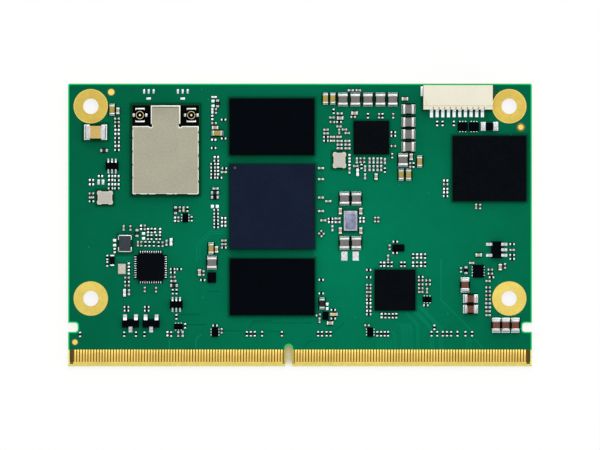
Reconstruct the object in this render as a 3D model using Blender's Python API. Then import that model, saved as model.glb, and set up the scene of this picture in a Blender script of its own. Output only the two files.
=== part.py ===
"""System on module: a card-edge computer board that lies flat with its parts on the upper face.

X runs along the card edge, Y runs away from it and Z points up. The origin is the middle of the
underside. The small soldered chips are one piece with the board that carries them.
"""

import math

import bmesh
import bpy
from mathutils import Matrix

MM = 0.001

# Board
BOARD_LENGTH = 82.0 * MM
BOARD_WIDTH = 50.0 * MM
BOARD_THICKNESS = 1.2 * MM
# One millimetre of the layout along X and along Y. Every place and plan size below follows the board.
UNIT_X = BOARD_LENGTH / 82.0
UNIT_Y = BOARD_WIDTH / 50.0
EDGE_BEVEL = 0.4 * MM
CORNER_RADIUS = 0.25 * MM
HOLE_DIAMETER = 2.7 * MM
LAND_DIAMETER = 6.1 * MM
HOLE_INSET = 4.0 * MM
LOWER_HOLES_FROM_CARD_EDGE = 12.0 * MM
NOTCH_FROM_CARD_EDGE = 6.9 * MM
NOTCH_WIDTH = 1.6 * MM
NOTCH_DEPTH = 1.7 * MM
NOTCH_RADIUS = 0.5 * MM
KEY_SLOT_X = -2.0 * UNIT_X
KEY_SLOT_WIDTH = 1.2 * MM
KEY_SLOT_DEPTH = 3.8 * MM
COPPER_RISE = 0.05 * MM
ROUND_SEGMENTS = 20
SLOT_ARC_STEPS = 8
NOTCH_ARC_STEPS = 4
CORNER_ARC_STEPS = 3
# How many times the thickness of what it cuts a cutter is long
CUTTER_OVERSHOOT = 3

# Gold fingers on the upper side of the card edge
FINGER_PITCH = 0.5 * MM
FINGER_WIDTH = 0.35 * MM
FINGER_LENGTH = 2.55 * MM
FINGER_TIP_INSET = 0.45 * MM
FINGER_END_MARGIN = 1.25 * MM
KEY_CLEAR = 1.0 * MM

# How far a fused part reaches into its carrier, and the gaps under and between separate parts
SINK = 0.2 * MM
SEAT = 0.06 * MM
BALL_STANDOFF = 0.25 * MM
FIT = 0.06 * MM

# Small soldered parts: length over the metal ends, width and height in millimetres
RESISTOR = (1.0, 0.5, 0.35)
CAPACITOR = (1.0, 0.5, 0.5)
NARROW_CAPACITOR = (1.0, 0.4, 0.4)
LONG_CAPACITOR = (1.2, 0.5, 0.55)
FERRITE = (1.35, 0.55, 0.5)
MEDIUM_CAPACITOR = (1.25, 0.68, 0.65)
MEDIUM_RESISTOR = (1.45, 0.62, 0.45)
TAN_CAPACITOR = (2.2, 1.0, 0.85)
GREY_CAPACITOR = (2.45, 1.75, 1.25)
BROWN_CAPACITOR = (2.75, 1.6, 1.6)
BULK_CAPACITOR = (4.15, 2.85, 2.0)
LED = (1.4, 0.6, 0.5)
END_SHARE = 0.26
END_PROUD = 0.05 * MM

# How the long side of a small part lies, as an angle from X in degrees
ACROSS, UPRIGHT, SLANTED, TILTED = 0, 90, -48, 18

# Parts that are one piece with the board: kind, lie, and places in millimetres from the middle
PLAIN_PARTS = [
    (RESISTOR, ACROSS, [
        (-32.36, 17.5), (-32.36, 15.35), (-32.36, 14.65), (-32.36, 13.25), (-33.5, 6.48),
        (-32.38, 6.48), (-32.38, 7.89), (-36.88, 4.18), (-30.58, -10.05), (-30.68, -14.5),
        (-30.68, -15.15), (-27.1, -14.5), (-27.1, -15.15), (-13.52, 18.62), (-13.5, 15.28),
        (-15.28, 13.6), (-14.8, 11.35), (-15.38, 10.8), (-15.38, 10.15), (-15.38, 9.55),
        (-15.38, 8.95), (-15.38, 8.35), (-14.22, 8.35), (-13.38, 10.0), (-14.83, 2.65),
        (-14.83, 2.0), (-14.83, 1.4), (-14.83, 0.8), (-14.83, 0.2), (-14.83, -0.4),
        (-13.45, -4.0), (-22.53, -7.8), (-21.35, -7.8), (-22.5, -8.4), (-17.2, -9.75),
        (-15.03, -17.78), (6.9, 18.2), (4.58, 15.55), (4.58, 14.9), (5.4, 1.1),
        (3.75, -9.7), (3.75, -12.1), (5.88, -15.02), (5.88, -16.55), (12.15, -7.95),
        (12.15, -9.25), (12.15, -13.2), (12.15, -14.5), (12.15, -15.8), (16.5, 16.4),
        (16.5, 15.75), (25.75, 5.1), (16.85, -2.95), (16.8, -4.95), (21.35, -9.2),
        (22.25, -14.2), (37.5, -3.4), (37.5, -5.3), (37.5, -6.0), (33.85, -9.25),
    ]),
    (RESISTOR, UPRIGHT, [
        (-34.08, -5.74), (-34.08, -6.9), (-38.88, -19.35), (-31.07, -19.3), (-29.0, -19.3),
        (-27.5, -19.3), (-27.33, -3.35), (-19.9, 2.8), (-19.15, 1.1), (-26.25, -1.0),
        (-26.9, -2.15), (-26.27, -2.15), (-25.4, -2.15), (-24.77, -2.15), (-26.62, -3.35),
        (-25.85, -3.35), (-25.0, -3.4), (-22.5, -11.8), (-21.83, -11.8), (-21.85, -16.25),
        (-20.32, -17.85), (-22.78, -19.3), (-9.4, -19.25), (-8.7, -19.25), (-8.0, -19.25),
        (-6.7, -19.25), (-3.2, -19.25), (3.2, -19.25), (3.88, -19.25), (4.7, -19.25),
        (5.4, -19.25), (13.65, -19.25), (14.33, -19.25), (14.98, -19.25), (15.57, -19.25),
        (23.25, -19.25), (24.25, -19.25), (25.25, -19.25), (25.98, -19.25), (26.72, -19.25),
        (27.85, -19.25), (29.25, -19.25), (30.42, -19.25), (5.95, 20.1), (12.0, 19.3),
        (14.58, 19.3), (10.87, 10.35), (15.0, 9.7), (14.3, -6.95), (15.57, -6.95),
        (16.2, -6.95), (17.9, -6.95), (18.5, -6.95), (20.7, -6.95), (22.1, -6.95),
        (20.0, -5.5), (22.1, -5.5), (15.1, -16.05), (15.75, -16.05), (16.4, -16.05),
        (17.03, -16.05), (24.25, 17.95), (25.2, 17.95), (27.2, 17.95), (20.07, 10.6),
        (23.75, -18.1), (31.85, 3.25),
    ]),
    (CAPACITOR, ACROSS, [
        (-32.36, 18.81), (-32.36, 18.18), (-36.88, 5.58), (-30.58, -9.3), (-30.58, -10.7),
        (-22.5, -9.2), (-15.2, 18.0), (-13.45, -2.75), (-13.45, -3.4), (5.72, 18.2),
        (9.4, 19.1), (12.15, -10.6), (12.15, -11.2), (12.15, -12.55), (11.85, -17.75),
        (16.5, 13.95), (25.75, 7.2), (21.35, -9.8), (21.35, -10.5), (21.35, -11.2),
        (22.65, -9.8), (22.65, -10.5), (37.5, -4.4), (33.65, -7.9), (33.65, -8.6),
        (33.25, -9.9), (33.25, -11.05), (33.25, -11.75), (33.25, -12.45), (33.25, -13.15),
        (33.25, -15.25), (-36.88, 4.88), (10.3, 23.8), (5.65, 19.0), (6.9, 17.42),
        (7.86, 16.88), (8.35, 16.25), (4.6, 16.85), (4.6, 16.2), (5.75, 15.58),
        (5.75, 14.88), (6.9, 15.58), (12.15, -11.85), (21.35, -11.85), (30.35, -6.7),
        (33.25, -15.95), (9.85, 10.42),
    ]),
    (CAPACITOR, UPRIGHT, [
        (-29.98, -0.53), (-28.07, -3.33), (-27.43, -0.43), (-21.25, 2.8), (-21.5, 1.0),
        (-24.3, -3.4), (-27.45, -11.4), (-25.45, -11.45), (-14.85, 20.15), (-21.53, -19.3),
        (-13.85, -18.72), (-17.05, -8.5), (13.97, 19.3), (10.7, 11.45), (11.35, 11.45),
        (13.27, 0.95), (13.85, 0.95), (16.48, 19.3), (16.3, 12.25), (19.48, 10.6),
        (15.85, -3.95), (22.45, -11.6), (28.45, -7.95), (36.25, -7.25), (-31.18, -0.53),
        (-28.67, -3.33), (-20.6, 2.8), (3.45, -16.85), (31.13, 3.3), (-15.5, 20.15),
    ]),
    (CAPACITOR, SLANTED, [(3.58, -1.75), (3.98, -1.3)]),
    (CAPACITOR, TILTED, [(3.23, -15.9)]),
    (NARROW_CAPACITOR, UPRIGHT, [(6.93, 16.55)]),
    (NARROW_CAPACITOR, ACROSS, [(-15.2, 22.63)]),
    (LONG_CAPACITOR, ACROSS, [
        (7.0, 14.85), (8.37, 14.85), (7.0, 13.55), (8.4, 13.55), (-13.45, 9.35),
        (-14.93, 6.45), (6.65, 1.15), (4.1, 0.8), (5.0, 4.2), (3.7, 10.05),
        (3.7, 8.1), (3.7, 4.85), (3.7, 2.45), (8.98, 23.8), (7.02, 19.72),
        (7.0, 14.2), (8.4, 14.2), (-22.4, -9.9), (33.25, -13.85), (33.25, -14.55),
        (6.65, 0.5),
    ]),
    (LONG_CAPACITOR, UPRIGHT, [
        (12.3, 11.4), (13.0, 11.4), (13.7, 11.4), (15.0, 11.3), (12.3, 10.05),
        (11.5, 8.6), (11.5, 10.0), (10.05, 11.4), (-23.6, -3.15), (-30.23, -11.9),
        (14.35, 11.4), (13.0, 10.05), (13.7, 10.05), (14.35, 10.05), (5.73, -0.58),
        (8.75, 9.6), (-20.75, -19.25), (15.58, -5.78),
    ]),
    (FERRITE, UPRIGHT, [(-31.03, -12.0), (-22.8, -3.0), (10.18, 9.3)]),
    (MEDIUM_CAPACITOR, ACROSS, [
        (-15.02, 17.22), (7.1, 18.9), (9.63, 19.78), (18.55, 22.3), (5.3, -17.33),
        (31.6, -5.3),
    ]),
    (MEDIUM_CAPACITOR, UPRIGHT, [
        (-32.2, 20.18), (-14.75, -4.33), (-17.77, -8.4), (13.45, 8.55), (7.12, 2.45),
        (10.75, 2.45), (7.12, -1.0), (10.75, -1.0), (19.67, 12.05), (35.4, -7.45),
    ]),
    (MEDIUM_RESISTOR, ACROSS, [(-34.65, 13.17), (-15.05, 5.7), (-15.05, 4.9), (-22.3, -10.7)]),
    (MEDIUM_RESISTOR, UPRIGHT, [(-28.82, -1.43), (-22.0, 2.6), (-14.58, 21.48), (29.35, -8.0)]),
    (LED, ACROSS, [(5.98, -15.8)]),
]
ENDED_PARTS = [
    (TAN_CAPACITOR, ACROSS, [(-14.65, 16.25)]),
    (TAN_CAPACITOR, UPRIGHT, [
        (-33.23, 20.37), (-15.73, -4.15), (4.5, 22.32), (5.8, 22.32), (21.15, 11.22),
        (17.88, 8.88), (19.2, 8.88), (3.9, -13.9),
    ]),
    (GREY_CAPACITOR, ACROSS, [(19.17, 20.48), (19.17, 18.2), (19.17, 16.05), (19.17, 13.85)]),
    (GREY_CAPACITOR, UPRIGHT, [
        (7.58, 22.18), (9.78, 22.18), (12.0, 22.18), (14.22, 22.18), (16.4, 22.18),
        (18.22, 11.48), (7.85, 4.67), (9.98, 4.67), (7.85, -3.18), (9.98, -3.18),
        (-15.58, -6.67),
    ]),
]

# Larger two-ended parts that are pieces of their own: name, kind, lie, middle x, middle y, colour
BROWN = (0.20, 0.07, 0.045)
LARGE_PARTS = [
    ("ceramic_capacitor_1", BROWN_CAPACITOR, UPRIGHT, 29.18, -10.6, BROWN),
    ("ceramic_capacitor_2", BROWN_CAPACITOR, ACROSS, 30.15, -13.03, BROWN),
    ("ceramic_capacitor_3", BROWN_CAPACITOR, ACROSS, 30.15, -14.87, BROWN),
    ("ceramic_capacitor_4", BROWN_CAPACITOR, UPRIGHT, 34.7, -17.73, BROWN),
    ("ceramic_capacitor_5", BROWN_CAPACITOR, UPRIGHT, 36.38, -17.73, BROWN),
    ("ceramic_capacitor_6", BROWN_CAPACITOR, UPRIGHT, 38.06, -17.73, BROWN),
    ("bulk_capacitor", BULK_CAPACITOR, ACROSS, -36.15, 16.4, (0.62, 0.45, 0.24)),
]

# Ball-grid packages: name, middle x, middle y, length, width and height in millimetres, colour
BALL_PACKAGES = [
    ("processor", -4.9, 3.25, 15.0, 15.0, 1.1, (0.012, 0.014, 0.032)),
    ("memory_upper", -4.95, 17.38, 15.0, 10.0, 0.85, (0.006, 0.007, 0.010)),
    ("memory_lower", -4.9, -10.93, 15.0, 10.0, 0.85, (0.006, 0.007, 0.010)),
    ("storage_chip", 33.5, 10.0, 13.0, 11.5, 0.8, (0.006, 0.007, 0.012)),
]
# Flat packages whose pads lie under the body: name, middle x, middle y, length, width and height
FLAT_PACKAGES = [
    ("power_chip", 12.62, 15.45, 6.05, 5.7, 0.85),
    ("interface_chip", 16.8, -11.5, 7.0, 7.0, 0.85),
    ("load_switch_left", -15.6, -9.3, 1.4, 1.7, 0.6),
    ("load_switch_right", 4.52, -16.05, 0.95, 1.3, 0.5),
    ("converter_chip", 17.4, -4.05, 2.0, 1.1, 0.6),
    ("logic_chip_a", -20.28, 1.28, 0.85, 1.45, 0.55),
    ("logic_chip_b", -21.5, -17.97, 1.4, 0.85, 0.55),
    ("logic_chip_c", -15.03, -18.95, 0.95, 1.5, 0.55),
    ("logic_chip_d", 12.42, -18.95, 0.9, 1.5, 0.55),
    ("logic_chip_e", 22.47, -13.15, 1.45, 0.85, 0.55),
]
PACKAGE_CHAMFER = 0.08 * MM
PACKAGE_COLOUR = (0.010, 0.010, 0.013)

# Small packages with flat leads on two sides: name, middle x, middle y, body length, body width,
# leads a side, pitch, lead width, reach of the leads from the middle, angle
LEAD_PACKAGES = [
    ("logic_chip_f", 28.77, 17.4, 1.65, 1.4, 3, 0.5, 0.28, 0.95, 0),
    ("logic_chip_g", 30.75, 17.4, 1.65, 1.4, 3, 0.5, 0.28, 0.95, 0),
    ("regulator_small", 31.58, -8.17, 2.1, 1.85, 4, 0.5, 0.26, 1.2, 90),
]
LEAD_PACKAGE_HEIGHT = 0.6
LEAD_THICKNESS = 0.15
# The underside of a flat lead above its body's underside, in lead thicknesses
LEAD_LEVEL = 1.0

# Gull-wing packages: name, middle x, middle y, body length, body width, body height, reach of the
# leads from the middle, lead width, lead places along the body on the upper and the lower side, angle
GULL_PACKAGES = [
    ("transistor_left", -29.97, -17.4, 2.95, 1.15, 0.95, 1.6, 0.8, (-0.97, 0.97), (0.0,), 0),
    ("transistor_right", -26.33, -17.4, 2.95, 1.15, 0.95, 1.6, 0.8, (-0.97, 0.97), (0.0,), 0),
    ("gate_chip_left", -33.23, 10.44, 2.2, 1.2, 0.9, 1.4, 0.42, (-0.67, 0.0, 0.67), (-0.67, 0.0, 0.67), 0),
    ("gate_chip_middle", -21.87, -14.05, 2.2, 1.2, 0.9, 1.4, 0.42, (-0.67, 0.0, 0.67), (-0.67, 0.0, 0.67), 0),
    ("regulator", 34.78, -4.38, 2.9, 1.6, 1.1, 1.87, 0.56, (-0.97, 0.97), (-0.97, 0.0, 0.97), 90),
]
GULL_FOOT_SHARE = 0.55
# How far a bent lead reaches into its body, in lead thicknesses
GULL_ROOT = 3

# Leadless package with cut corners
QUAD_X, QUAD_Y = -26.42, -7.45
QUAD_SIZE = (4.95, 4.95, 0.85)
QUAD_CORNER_SHARE = 0.1

# Wireless module: its own board, the chip on it, the shield can and the two antenna sockets
WIRELESS_X, WIRELESS_Y = -23.75, 13.27
WIRELESS_LENGTH = 12.0 * UNIT_X
WIRELESS_WIDTH = 16.0 * UNIT_Y
WIRELESS_THICKNESS = 0.6 * MM
RADIO_CHIP = (6.0, 6.0, 0.75)
CAN_MARGIN = 0.15 * MM
CAN_HEIGHT = 1.5 * MM
CAN_WALL = 0.2 * MM
CAN_CORNER_LENGTH = 3.25 * UNIT_X
CAN_CORNER_WIDTH = 3.65 * UNIT_Y
CAN_RELIEF_RADIUS = 0.22 * MM
CAN_RELIEF_STEPS = 8
SOCKET_SIDE_INSET = 1.46 * UNIT_X
SOCKET_END_INSET = 1.85 * UNIT_Y
SOCKET_LENGTH = 1.75 * UNIT_X
SOCKET_WIDTH = 2.6 * UNIT_Y
SOCKET_BASE_HEIGHT = 0.3 * MM
SOCKET_RING_DIAMETER = 1.5 * MM
SOCKET_RING_WALL = 0.15 * MM
SOCKET_RING_HEIGHT = 0.95 * MM
SOCKET_PIN_DIAMETER = 0.4 * MM
SOCKET_PIN_HEIGHT = 0.75 * MM
SOCKET_RING_SEGMENTS = 16
SOCKET_PIN_SEGMENTS = 8

# Right-angle header with ten contacts, its mouth towards the upper edge of the board
HEADER_X = 27.92 * UNIT_X
HEADER_LENGTH = 12.25 * UNIT_X
HEADER_DEPTH = 4.3 * UNIT_Y
HEADER_HEIGHT = 2.95 * MM
HEADER_FLOOR = 0.55 * MM
HEADER_EDGE_INSET = 0.3 * UNIT_Y
HEADER_WALL = 0.55 * UNIT_X
HEADER_BACK_WALL = 1.1 * UNIT_Y
HEADER_LEDGE_DEPTH = 0.7 * UNIT_Y
HEADER_LEDGE_DROP = 0.35 * MM
CONTACT_PITCH = 1.0 * UNIT_X
CONTACT_END_MARGIN = 1.5 * UNIT_X
CONTACT_ROW_SHIFT = -0.17 * UNIT_X
CONTACTS = int((HEADER_LENGTH - 2 * CONTACT_END_MARGIN) / CONTACT_PITCH) + 1
CONTACT_THICKNESS = 0.25 * MM
CONTACT_WIDTH = 0.55 * UNIT_X
CONTACT_FOOT_LENGTH = 1.4 * UNIT_Y
CONTACT_HEIGHT = 1.35 * MM
CONTACT_PIN_LENGTH = 2.4 * UNIT_Y
TAB_LENGTH = 1.7 * UNIT_Y
TAB_WIDTH = 0.4 * UNIT_X
TAB_HEIGHT = 1.0 * MM
TAB_FROM_MOUTH = 0.2 * UNIT_Y

# Crystals: name, middle x, middle y, length, width, height, colour
CRYSTALS = [
    ("crystal_left", -34.48, 4.83, 2.8, 2.45, 0.8, (0.62, 0.56, 0.50)),
    ("crystal_middle", 6.98, 11.47, 2.35, 2.85, 0.8, (0.66, 0.60, 0.54)),
]
CASTELLATION_DIAMETER = 0.5 * MM
CASTELLATION_SEGMENTS = 8
OSCILLATOR = ("oscillator", 8.93, 0.75, 2.35, 3.5, 1.0, (0.44, 0.46, 0.55))
OSCILLATOR_LID_INSET = 0.18 * MM
OSCILLATOR_LID_RISE = 0.12 * MM
SMALL_CRYSTAL = ("crystal_small", -31.5, -7.77, 1.35, 1.8, 0.5, (0.72, 0.66, 0.56))

# Wire-wound inductor in a pair of metal brackets
INDUCTOR_X, INDUCTOR_Y = -30.95, -3.27
INDUCTOR_LENGTH = 2.1 * UNIT_X
INDUCTOR_WIDTH = 2.7 * UNIT_Y
INDUCTOR_HEIGHT = 1.1 * MM
BRACKET_PROUD = 0.17 * MM
BRACKET_HEIGHT = 0.8 * MM
BRACKET_REACH = 0.95 * UNIT_Y

# Two-ended diode and the fuse with its narrow body
DIODE = ("diode", (2.0, 0.75, 0.6), UPRIGHT, -33.2, -6.25)
FUSE = ("fuse", (3.1, 1.65, 0.9), ACROSS, 33.5, 17.43)
FUSE_BODY_SHARE = 0.82

# Heights that several parts stand on
BOARD_TOP = BOARD_THICKNESS
WIRELESS_TOP = BOARD_TOP + SEAT + WIRELESS_THICKNESS

GREEN = (0.0, 0.13, 0.085)
TIN = (0.72, 0.72, 0.74)
GOLD = (0.78, 0.55, 0.22)


def clear_scene():
    for obj in list(bpy.data.objects):
        bpy.data.objects.remove(obj, do_unlink=True)


def new_collection(name, is_helper=False):
    collection = bpy.data.collections.new(name)
    bpy.context.scene.collection.children.link(collection)
    collection.hide_render = is_helper
    return collection


def principled(name, colour, roughness, metallic=0.0):
    material = bpy.data.materials.new(name)
    material.use_nodes = True
    shader = material.node_tree.nodes["Principled BSDF"]
    shader.inputs["Base Color"].default_value = (*colour, 1.0)
    shader.inputs["Roughness"].default_value = roughness
    shader.inputs["Metallic"].default_value = metallic
    return material


def finish(name, shape, material):
    """Turns a bmesh into an object in the parts collection."""
    bmesh.ops.recalc_face_normals(shape, faces=shape.faces)
    mesh = bpy.data.meshes.new(name)
    shape.to_mesh(mesh)
    shape.free()
    mesh.materials.append(material)
    obj = bpy.data.objects.new(name, mesh)
    PARTS.objects.link(obj)
    return obj


def helper(name, shape):
    """Turns a bmesh into a guide for a Boolean."""
    bmesh.ops.recalc_face_normals(shape, faces=shape.faces)
    mesh = bpy.data.meshes.new(name)
    shape.to_mesh(mesh)
    shape.free()
    obj = bpy.data.objects.new(name, mesh)
    obj.hide_render = True
    obj.display_type = "WIRE"
    CUTTERS.objects.link(obj)
    return obj


def boolean(obj, name, shape, operation):
    modifier = obj.modifiers.new(name, "BOOLEAN")
    modifier.operation = operation
    modifier.solver = "EXACT"
    modifier.object = helper(f"{obj.name}_{name}", shape)


def add_box(shape, middle, size, angle=0.0):
    """A box with its middle and size in metres, turned about Z by an angle in degrees."""
    matrix = Matrix.Translation(middle) @ Matrix.Rotation(math.radians(angle), 4, "Z")
    bmesh.ops.create_cube(shape, size=1.0, matrix=matrix @ Matrix.Diagonal((*size, 1.0)))


def add_cylinder(shape, middle, diameter, height, segments=ROUND_SEGMENTS):
    bmesh.ops.create_cone(
        shape,
        cap_ends=True,
        segments=segments,
        radius1=diameter / 2,
        radius2=diameter / 2,
        depth=height,
        matrix=Matrix.Translation(middle),
    )


def add_prism(shape, outline, depth, matrix):
    """The flat outline raised by a depth along its own Z, then placed by the matrix."""
    base = [shape.verts.new((x, y, 0.0)) for x, y in outline]
    face = shape.faces.new(base)
    raised = bmesh.ops.extrude_face_region(shape, geom=[face])
    moved = [v for v in raised["geom"] if isinstance(v, bmesh.types.BMVert)]
    bmesh.ops.translate(shape, verts=moved, vec=(0.0, 0.0, depth))
    bmesh.ops.transform(shape, matrix=matrix, verts=base + moved)


def place(x, y, z=0.0, angle=0.0):
    """A placement in metres, turned about Z by an angle in degrees."""
    return Matrix.Translation((x, y, z)) @ Matrix.Rotation(math.radians(angle), 4, "Z")


def lay(x, y, z, angle=0.0):
    """A placement on the layout, whose x and y are in its millimetres."""
    return place(x * UNIT_X, y * UNIT_Y, z, angle)


def plan_size(length, width, height, angle=0.0):
    """Length, width and height in metres of a part that lies at an angle on the layout."""
    if angle == UPRIGHT:
        return length * UNIT_Y, width * UNIT_X, height * MM
    return length * UNIT_X, width * UNIT_Y, height * MM


def side_on(width):
    """Turns an outline drawn in X and Z into a prism that is centred across Y."""
    return Matrix.Translation((0.0, width / 2, 0.0)) @ Matrix.Rotation(math.radians(90), 4, "X")


def arc(x, y, radius, start, end, steps):
    """Points on an arc, with its angles in degrees."""
    turns = [math.radians(start + (end - start) * i / steps) for i in range(steps + 1)]
    return [(x + radius * math.cos(turn), y + radius * math.sin(turn)) for turn in turns]


def board_outline():
    """The board's edge, anticlockwise from its lower left corner."""
    right = BOARD_LENGTH / 2
    top = BOARD_WIDTH / 2
    slot_left = KEY_SLOT_X - KEY_SLOT_WIDTH / 2
    slot_right = KEY_SLOT_X + KEY_SLOT_WIDTH / 2
    slot_round = -top + KEY_SLOT_DEPTH - KEY_SLOT_WIDTH / 2
    notch_low = -top + NOTCH_FROM_CARD_EDGE - NOTCH_WIDTH / 2
    notch_high = notch_low + NOTCH_WIDTH
    notch_end = right - NOTCH_DEPTH + NOTCH_RADIUS
    inner_low = notch_low + NOTCH_RADIUS
    inner_high = notch_high - NOTCH_RADIUS
    corner_x = right - CORNER_RADIUS
    corner_y = top - CORNER_RADIUS
    return [
        (-right, -top),
        (slot_left, -top),
        *arc(KEY_SLOT_X, slot_round, KEY_SLOT_WIDTH / 2, 180, 0, SLOT_ARC_STEPS),
        (slot_right, -top),
        (right, -top),
        (right, notch_low),
        *arc(notch_end, inner_low, NOTCH_RADIUS, 270, 180, NOTCH_ARC_STEPS),
        *arc(notch_end, inner_high, NOTCH_RADIUS, 180, 90, NOTCH_ARC_STEPS),
        (right, notch_high),
        *arc(corner_x, corner_y, CORNER_RADIUS, 0, 90, CORNER_ARC_STEPS),
        *arc(-corner_x, corner_y, CORNER_RADIUS, 90, 180, CORNER_ARC_STEPS),
        (-right, notch_high),
        *arc(-notch_end, inner_high, NOTCH_RADIUS, 90, 0, NOTCH_ARC_STEPS),
        *arc(-notch_end, inner_low, NOTCH_RADIUS, 0, -90, NOTCH_ARC_STEPS),
        (-right, notch_low),
    ]


def hole_places():
    x = BOARD_LENGTH / 2 - HOLE_INSET
    high = BOARD_WIDTH / 2 - HOLE_INSET
    low = -BOARD_WIDTH / 2 + LOWER_HOLES_FROM_CARD_EDGE
    return [(-x, high), (x, high), (-x, low), (x, low)]


def finger_places():
    """Finger middles along the card edge, leaving out those at the key slot."""
    first = -BOARD_LENGTH / 2 + FINGER_END_MARGIN
    count = round((BOARD_LENGTH - 2 * FINGER_END_MARGIN) / FINGER_PITCH) + 1
    places = [first + i * FINGER_PITCH for i in range(count)]
    return [x for x in places if abs(x - KEY_SLOT_X) > KEY_CLEAR + FINGER_PITCH / 4]


def add_plain_part(shape, x, y, angle, size):
    """A small part as a plain block that is sunk into the board."""
    length, width, height = plan_size(*size, angle)
    middle = (x * UNIT_X, y * UNIT_Y, BOARD_TOP + (height - SINK) / 2)
    add_box(shape, middle, (length, width, height + SINK), angle)


def ended_profile(length, height, sink):
    """Side view of a part whose metal ends stand a little above its body."""
    end = length * END_SHARE
    body = height - END_PROUD
    half = length / 2
    return [
        (-half, -sink),
        (half, -sink),
        (half, height),
        (half - end, height),
        (half - end, body),
        (-half + end, body),
        (-half + end, height),
        (-half, height),
    ]


def add_ended_part(shape, x, y, angle, size, sink=0.0, seat=0.0):
    length, width, height = plan_size(*size, angle)
    matrix = lay(x, y, BOARD_TOP + seat, angle) @ side_on(width)
    add_prism(shape, ended_profile(length, height, sink), width, matrix)


def soldered_parts():
    """All the small parts that are one piece with the board."""
    shape = bmesh.new()
    for size, angle, places in PLAIN_PARTS:
        for x, y in places:
            add_plain_part(shape, x, y, angle, size)
    for size, angle, places in ENDED_PARTS:
        for x, y in places:
            add_ended_part(shape, x, y, angle, size, SINK)
    return shape


def finger_strips():
    shape = bmesh.new()
    tip = -BOARD_WIDTH / 2 + FINGER_TIP_INSET
    height = COPPER_RISE + SINK
    for x in finger_places():
        middle = (x, tip + FINGER_LENGTH / 2, BOARD_TOP - SINK + height / 2)
        add_box(shape, middle, (FINGER_WIDTH, FINGER_LENGTH, height))
    return shape


def bevel_wedges():
    """Two long wedges that bevel the card edge above and below."""
    shape = bmesh.new()
    edge = -BOARD_WIDTH / 2
    over = 2 * EDGE_BEVEL
    for level, side in ((BOARD_TOP, 1), (0.0, -1)):
        outline = [
            (edge - over, level - side * (EDGE_BEVEL + over)),
            (edge + EDGE_BEVEL + over, level + side * over),
            (edge - over, level + side * over),
        ]
        length = BOARD_LENGTH + 2 * over
        # The outline's axes become Y and Z, and its depth runs along X.
        turn = Matrix(((0, 0, 1, -length / 2), (1, 0, 0, 0), (0, 1, 0, 0), (0, 0, 0, 1)))
        add_prism(shape, outline, length, turn)
    return shape


def printed_board():
    shape = bmesh.new()
    add_prism(shape, board_outline(), BOARD_THICKNESS, Matrix.Identity(4))
    board = finish("printed_board", shape, principled("solder_mask", GREEN, 0.45))
    boolean(board, "bevel", bevel_wedges(), "DIFFERENCE")
    boolean(board, "fingers", finger_strips(), "UNION")
    lands = bmesh.new()
    holes = bmesh.new()
    for x, y in hole_places():
        land_height = COPPER_RISE + SINK
        add_cylinder(lands, (x, y, BOARD_TOP + COPPER_RISE - land_height / 2), LAND_DIAMETER, land_height)
        add_cylinder(holes, (x, y, BOARD_TOP / 2), HOLE_DIAMETER, CUTTER_OVERSHOOT * BOARD_THICKNESS)
    boolean(board, "lands", lands, "UNION")
    boolean(board, "holes", holes, "DIFFERENCE")
    boolean(board, "soldered_parts", soldered_parts(), "UNION")


def chamfer_top(shape, low):
    """Chamfers the edges that lie wholly above a level."""
    upper = [e for e in shape.edges if all(v.co.z > low + PACKAGE_CHAMFER for v in e.verts)]
    bmesh.ops.bevel(shape, geom=upper, offset=PACKAGE_CHAMFER, segments=1, affect="EDGES")


def chamfered_block(name, x, y, low, size, material):
    """A moulded block with a chamfer round its upper edges."""
    shape = bmesh.new()
    add_box(shape, (x, y, low + size[2] / 2), size)
    chamfer_top(shape, low)
    return finish(name, shape, material)


def packages():
    for name, x, y, length, width, height, colour in BALL_PACKAGES:
        size = plan_size(length, width, height)
        low = BOARD_TOP + BALL_STANDOFF
        chamfered_block(name, x * UNIT_X, y * UNIT_Y, low, size, principled(name, colour, 0.5))
    for name, x, y, length, width, height in FLAT_PACKAGES:
        size = plan_size(length, width, height)
        low = BOARD_TOP + SEAT
        chamfered_block(name, x * UNIT_X, y * UNIT_Y, low, size, principled(name, PACKAGE_COLOUR, 0.5))


def lead_packages():
    """Small bodies with short flat leads on two sides."""
    low = BOARD_TOP + SEAT
    for name, x, y, length, width, count, pitch, lead_width, reach, angle in LEAD_PACKAGES:
        size = plan_size(length, width, LEAD_PACKAGE_HEIGHT, angle)
        body = chamfered_block(name, 0.0, 0.0, low, size, principled(name, PACKAGE_COLOUR, 0.5))
        lead_size = plan_size(lead_width, 2 * reach, LEAD_THICKNESS, angle)
        leads = bmesh.new()
        for i in range(count):
            at = (i - (count - 1) / 2) * pitch / length * size[0]
            add_box(leads, (at, 0.0, low + (LEAD_LEVEL + 0.5) * lead_size[2]), lead_size)
        boolean(body, "leads", leads, "UNION")
        turn_into_place(body, x, y, angle)


def turn_into_place(body, x, y, angle):
    """Places a body and the guides of its Booleans, which were drawn round the origin."""
    guides = [modifier.object for modifier in body.modifiers]
    for obj in (body, *guides):
        obj.matrix_world = lay(x, y, 0.0, angle)


def gull_profile(side, reach, level, thickness):
    """Side view of one bent lead, from inside the body out to the toe of its foot."""
    knee = reach - GULL_FOOT_SHARE * (reach - side)
    return [
        (side - GULL_ROOT * thickness, level),
        (knee - thickness, level),
        (knee - thickness, 0.0),
        (reach, 0.0),
        (reach, thickness),
        (knee, thickness),
        (knee, level + thickness),
        (side - GULL_ROOT * thickness, level + thickness),
    ]


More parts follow.
